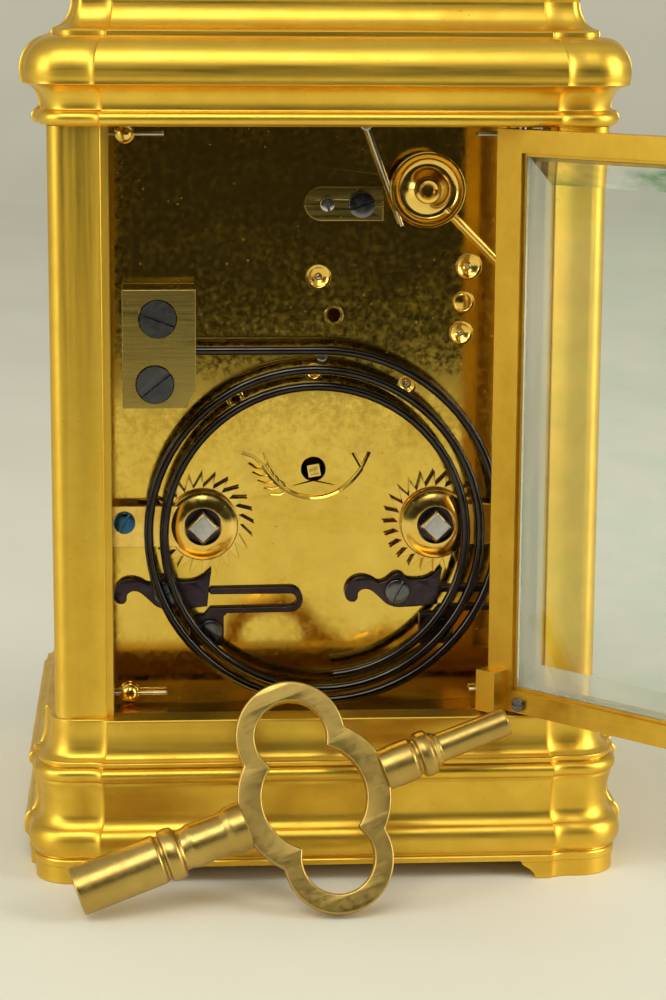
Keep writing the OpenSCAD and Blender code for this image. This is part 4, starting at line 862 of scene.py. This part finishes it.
# hammer, its cock and spring
def hammer_hub():
    """Round hub with a raised rim, a hollow and a small boss, about Z."""
    y0, y1 = 4.0, 6.2
    rim = [(0, y0), (5.6, y0), (6.0, y0 + 0.3), (6.0, y1 - 0.2), (5.85, y1), (5.6, y1), (5.45, y1 - 0.15)]
    hollow = []
    for i in range(13):
        hollow.append((5.3 - 3.1 * i / 12, y1 - 0.35 - 0.75 * math.sin(math.pi * (i / 12) ** 0.8)))
    boss = [(2.1, y1 + 0.25), (1.95, y1 + 0.5), (1.5, y1 + 0.6), (1.15, y1 + 0.45)]
    return lathe(rim + hollow + boss + [(0.9, y1 - 0.3), (0, y1 - 0.35)], 72)


arbor = lathe([(0, -4.8), (1.1, -4.8), (1.1, 4.1), (0, 4.1)], 32)
HEAD_X, HEAD_Z = -30.7, 66
rod_path = [(-19.6, 104.0), (-24, 99.6), (-28.4, 95.2), (-30.2, 93.4), (-30.85, 92.4)]
rod_path += [(-31.0, 91.0), (-30.85, 80), (HEAD_X, HEAD_Z)]
rod = sweep([(x, WIRE_Y, z) for x, z in rod_path], 0.6, 16)
build("hammer_brass", merge(on_plate(hammer_hub(), *HAMMER), on_plate(arbor, *HAMMER), rod), "brass",
      "hammer", ["hammer"], smooth=30)
ALONG_X = Matrix.Rotation(math.radians(90), 4, "Y")
head = lathe(rounded([(0, -1.9), (1.7, -1.9), (1.7, 1.9), (0, 1.9)], 0.35, 4), 36)
build("hammer_head_steel", moved(head, Matrix.Translation((HEAD_X, WIRE_Y, HEAD_Z)) @ ALONG_X), "steel",
      "hammer", smooth=35)

bar = [(-9.9, 101.8), (0, 101.8)] + arc(0, 104.5, 2.7, 2.7, -90, 90, 16)[1:] + [(0, 107.2), (-9.9, 107.2)]
bar = sheet_xz([bar, circle(-0.9, 104.5, 0.7, 24), circle(-6.4, 104.4, 0.7, 24)], PLATE_Y, 15.9, 0.14)
slit = box_bm((0, PLATE_Y - 1, 104.35), (4, 18, 104.65))
build("hammer_cock_brass", carve(bar, [slit]), "block", "case", ["hammer_cock"], smooth=28)

wire_path = [(-7.0, 117.4), (-8.4, 113.4), (-9.9, 109.3), (-11.4, 105.1), (-12.9, 101.0)]
wire = sweep([(x, 15.9, z) for x, z in wire_path], 0.36, 14, [0.42, 0.42, 0.40, 0.36, 0.3])
stud = on_plate(lathe(rounded([(0, 0), (0.9, 0), (0.9, 3.2), (0, 3.2)], 0.2), 28), -7.0, 117.0)
build("hammer_spring_wire", merge(wire, stud), "steel", "case", ["hammer_spring"],
      smooth=35)

square = square_bar(((1.0, -1.4), (1.0, 1.35), (0.8, 1.6)), 10)
build("hand_setting_square", on_plate(square, *SETTING), "steel", "centre_arbor",
      smooth=35, bevel=0.08)


# ---------------------------------------------------------------- key

def polar_outline(circles, n=360):
    """The outline of overlapping circles, seen from the origin."""
    out = []
    for k in range(n):
        a = 2 * math.pi * k / n
        d = Vector((math.cos(a), math.sin(a)))
        far = 0.0
        for cx, cy, r in circles:
            b = d.x * cx + d.y * cy
            disc = b * b - (cx * cx + cy * cy - r * r)
            if disc >= 0:
                far = max(far, b + math.sqrt(disc))
        out.append((d.x * far, d.y * far))
    return out


KEY_AT = (
    Matrix.Translation((2.9, 50.1, 16.95)) @ Matrix.Rotation(math.radians(23), 4, "X")
    @ Matrix.Rotation(math.radians(20.7), 4, "Y") @ Matrix.Rotation(math.radians(180), 4, "Z")
    @ Matrix.Rotation(math.radians(90), 4, "X")
)
outer = polar_outline([(0, 10, 8.4), (0, -10, 8.4), (0, 0, 11.8)])
inner = polar_outline([(0, 9.8, 5.5), (0, -9.8, 5.5), (0, 0, 8.0)])
bow = moved(sheet_xz([outer, inner], -1.5, 1.5, 0.35, 3), Matrix.Rotation(math.radians(-90), 4, "X"))
large_profile = [
    (0, -38.65), (3.6, -38.65), (3.8, -38.35), (3.85, -25.3), (3.4, -24.9), (3.4, -24.6),
    (4.05, -24.3), (4.15, -23.2), (4.0, -22.2), (3.3, -21.9), (3.1, -21.5), (3.2, -20.6),
    (3.45, -19.9), (3.3, -17.0), (3.25, -14.6), (3.7, -13.6), (3.75, -11.2), (0, -11.0),
]
small_profile = [
    (0, 11.0), (3.25, 11.2), (3.2, 12.6), (3.35, 13.3), (3.3, 16.2), (2.85, 16.8), (2.85, 17.1),
    (3.5, 17.4), (3.65, 18.2), (3.5, 19.2), (2.8, 19.7), (2.7, 20.2), (2.3, 20.7), (2.2, 31.8),
    (2.05, 32.1), (0, 32.1),
]
large = lathe(rounded(large_profile, 0.3), 72)
small = lathe(rounded(small_profile, 0.25), 64)
stems = []
for stem, half, lo, hi in ((large, 2.0, -45, -26.6), (small, 1.1, 26, 40)):
    socket = box_bm((lo, -half, -half), (hi, half, half))
    stems.append(carve(moved(stem, ALONG_X), [socket]))
build("winding_key_brass", merge(bow, *stems), "key", "key", ["winding_key"], smooth=32,
      place=KEY_AT)


# ---------------------------------------------------------------- dial, hands, handle and hidden pieces

def stroke(x0, x1, w, h=5.0):
    """Four corners of a stroke from x0 at the foot to x1 at the top."""
    return [(x0 - w / 2, -h / 2), (x0 + w / 2, -h / 2), (x1 + w / 2, h / 2), (x1 - w / 2, h / 2)]


def numeral(text):
    """Roman numeral strokes centred on the origin."""
    thick, thin = 0.62, 0.26
    widths = {"I": 1.25, "V": 2.7, "X": 2.9}
    x = -sum(widths[c] for c in text) / 2
    strokes = []
    for c in text:
        w = widths[c]
        mid, lo, hi = x + w / 2, x + 0.4, x + w - 0.4
        if c == "I":
            strokes.append(stroke(mid, mid, thick))
        elif c == "V":
            strokes += [stroke(mid, lo, thick), stroke(mid, hi, thin)]
        else:
            strokes += [stroke(hi, lo, thick), stroke(lo, hi, thin)]
        x += w
    return strokes


DIAL_Z, NUMERAL_R, MINUTE_R = 73, 18.2, 22.3
MARK_Y = (-30.98, -30.9)
ROMAN = ["XII", "I", "II", "III", "IIII", "V", "VI", "VII", "VIII", "IX", "X", "XI"]
marks = []
for i, text in enumerate(ROMAN):
    c, s = polar(1, -30 * i)
    for corners in numeral(text):
        loop = [(x * c - (z + NUMERAL_R) * s, DIAL_Z + x * s + (z + NUMERAL_R) * c) for x, z in corners]
        marks.append(sheet_xz([loop], *MARK_Y, 0.02, 1))
for i in range(60):
    x, z = polar(MINUTE_R, 6 * i)
    size = 0.45 if i % 5 == 0 else 0.25
    marks.append(sheet_xz([circle(x, DIAL_Z + z, size, 12)], *MARK_Y, 0.02, 1))
build("dial_numerals", merge(*marks), "ink", "case", smooth=30)
refined("dial_enamelled", ["dial"], "enamel", "case", 0.2, smooth=35)
refined("dial_mask_gilt", ["dial_mask"], "gilt_door", "case", 0.15, smooth=35)
refined("minute_hand_blued", ["minute_hand"], "gong", "minute_cannon", 0.06)
refined("hour_hand_blued", ["hour_hand"], "gong", "hour_pipe", 0.06)
refined("carrying_handle", ["handle"], "gilt", "handle", 0.12, smooth=40)
refined("handle_posts_gilt", ["handle_posts"], "gilt", "case", 0.15, smooth=40)
refined("repeat_button_gilt", ["repeat_button"], "gilt", "repeat_button", 0.25, smooth=40)
refined("front_plate_brass", ["front_plate"], "brass", "case", 0.1)
refined("platform_brass", ["platform"], "brass", "case", 0.1)
refined("balance_cock_brass", ["balance_cock"], "brass", "case", 0.12)

CARRIED = {
    "glass": ["top_glass", "side_glasses", "front_glass"],
    "steel": ["case_screws", "pallet_lever", "balance_spring"],
    "brass": ["time_barrel", "strike_barrel", "centre_wheel", "third_wheel", "contrate_wheel",
              "escape_wheel", "balance_wheel", "transfer_wheel", "cannon_wheel", "minute_wheel",
              "hour_wheel", "pin_wheel", "locking_wheel", "fly"],
}
for mat, names in CARRIED.items():
    for n in names:
        NODES[n].data.materials.clear()
        NODES[n].data.materials.append(M[mat])


# ---------------------------------------------------------------- stage, light and camera

def table_top():
    """A pale table, in metres, that curves up into a wall behind the clock."""
    profile = [(3.0, 0.0), (-1.2, 0.0)] + arc(-1.2, 0.6, 0.6, 0.6, 260, 180, 8) + [(-1.8, 2.5)]
    bm = bmesh.new()
    rows = [[bm.verts.new((x, y, z)) for x in (-3, 3)] for y, z in profile]
    for a, b in zip(rows, rows[1:]):
        bm.faces.new((a[0], a[1], b[1], b[0]))
    me = bpy.data.meshes.new("table_top")
    bm.to_mesh(me)
    bm.free()
    me.materials.append(ground_material("pale_table"))
    me.shade_smooth()
    return add_object("table_top", me)


table = table_top()


def flag(name, corners):
    """A dark card that only shows in reflections."""
    me = bpy.data.meshes.new(name)
    me.from_pydata(corners, [], [(0, 1, 2, 3)])
    o = add_object(name, me)
    t = Tree(name)
    t.set(Base_Color=t.mix(t.noise(5), rgb(0.012, 0.01, 0.008), rgb(0.02, 0.017, 0.012)), Roughness=0.9)
    me.materials.append(t.mat)
    o.visible_camera = o.visible_diffuse = o.visible_shadow = o.visible_transmission = False


flag("dark_card", [(x, 0.5, z) for x, z in rect(-0.5, 0.0, 0.5, 0.36)])


def softbox(name, at, look, size, power):
    """A soft, slightly warm rectangular light that faces a point."""
    d = bpy.data.lights.new(name, "AREA")
    d.shape = "RECTANGLE"
    d.size, d.size_y = size
    d.energy = power
    d.color = (1, 0.99, 0.95)
    o = add_object(name, d)
    o.location = at
    o.rotation_euler = (Vector(look) - Vector(at)).to_track_quat("-Z", "Y").to_euler()


softbox("over_camera", (0.25, 0.8, 0.95), (0, 0, 0.08), (0.8, 0.5), 5.5)
softbox("left_wall", (0.9, 0.5, 0.45), (0, 0, 0.07), (0.5, 0.7), 4)
softbox("right_wall", (-0.9, 0.45, 0.42), (0, 0, 0.07), (0.5, 0.7), 7)

world = bpy.data.worlds.new("studio")
bpy.context.scene.world = world
world.use_nodes = True
background = world.node_tree.nodes["Background"]
background.inputs["Color"].default_value = rgb(1.0, 0.99, 0.94)
background.inputs["Strength"].default_value = 0.5

lens = bpy.data.cameras.new("camera")
lens.lens, lens.sensor_width, lens.clip_start = 92.8, 36, 0.01
camera = add_object("camera", lens)
forward = Vector((-0.0681, -0.9786, -0.1940))
right = Vector((-0.99765, 0.06824, 0.00583)).normalized()
up = right.cross(forward).normalized()
right = forward.cross(up).normalized()
turned = Matrix((right, up, -forward)).transposed()
camera.matrix_world = Matrix.Translation((0.0265, 0.4267, 0.1379)) @ turned.to_4x4()
bpy.context.scene.camera = camera
bpy.context.scene.view_settings.view_transform = "Standard"
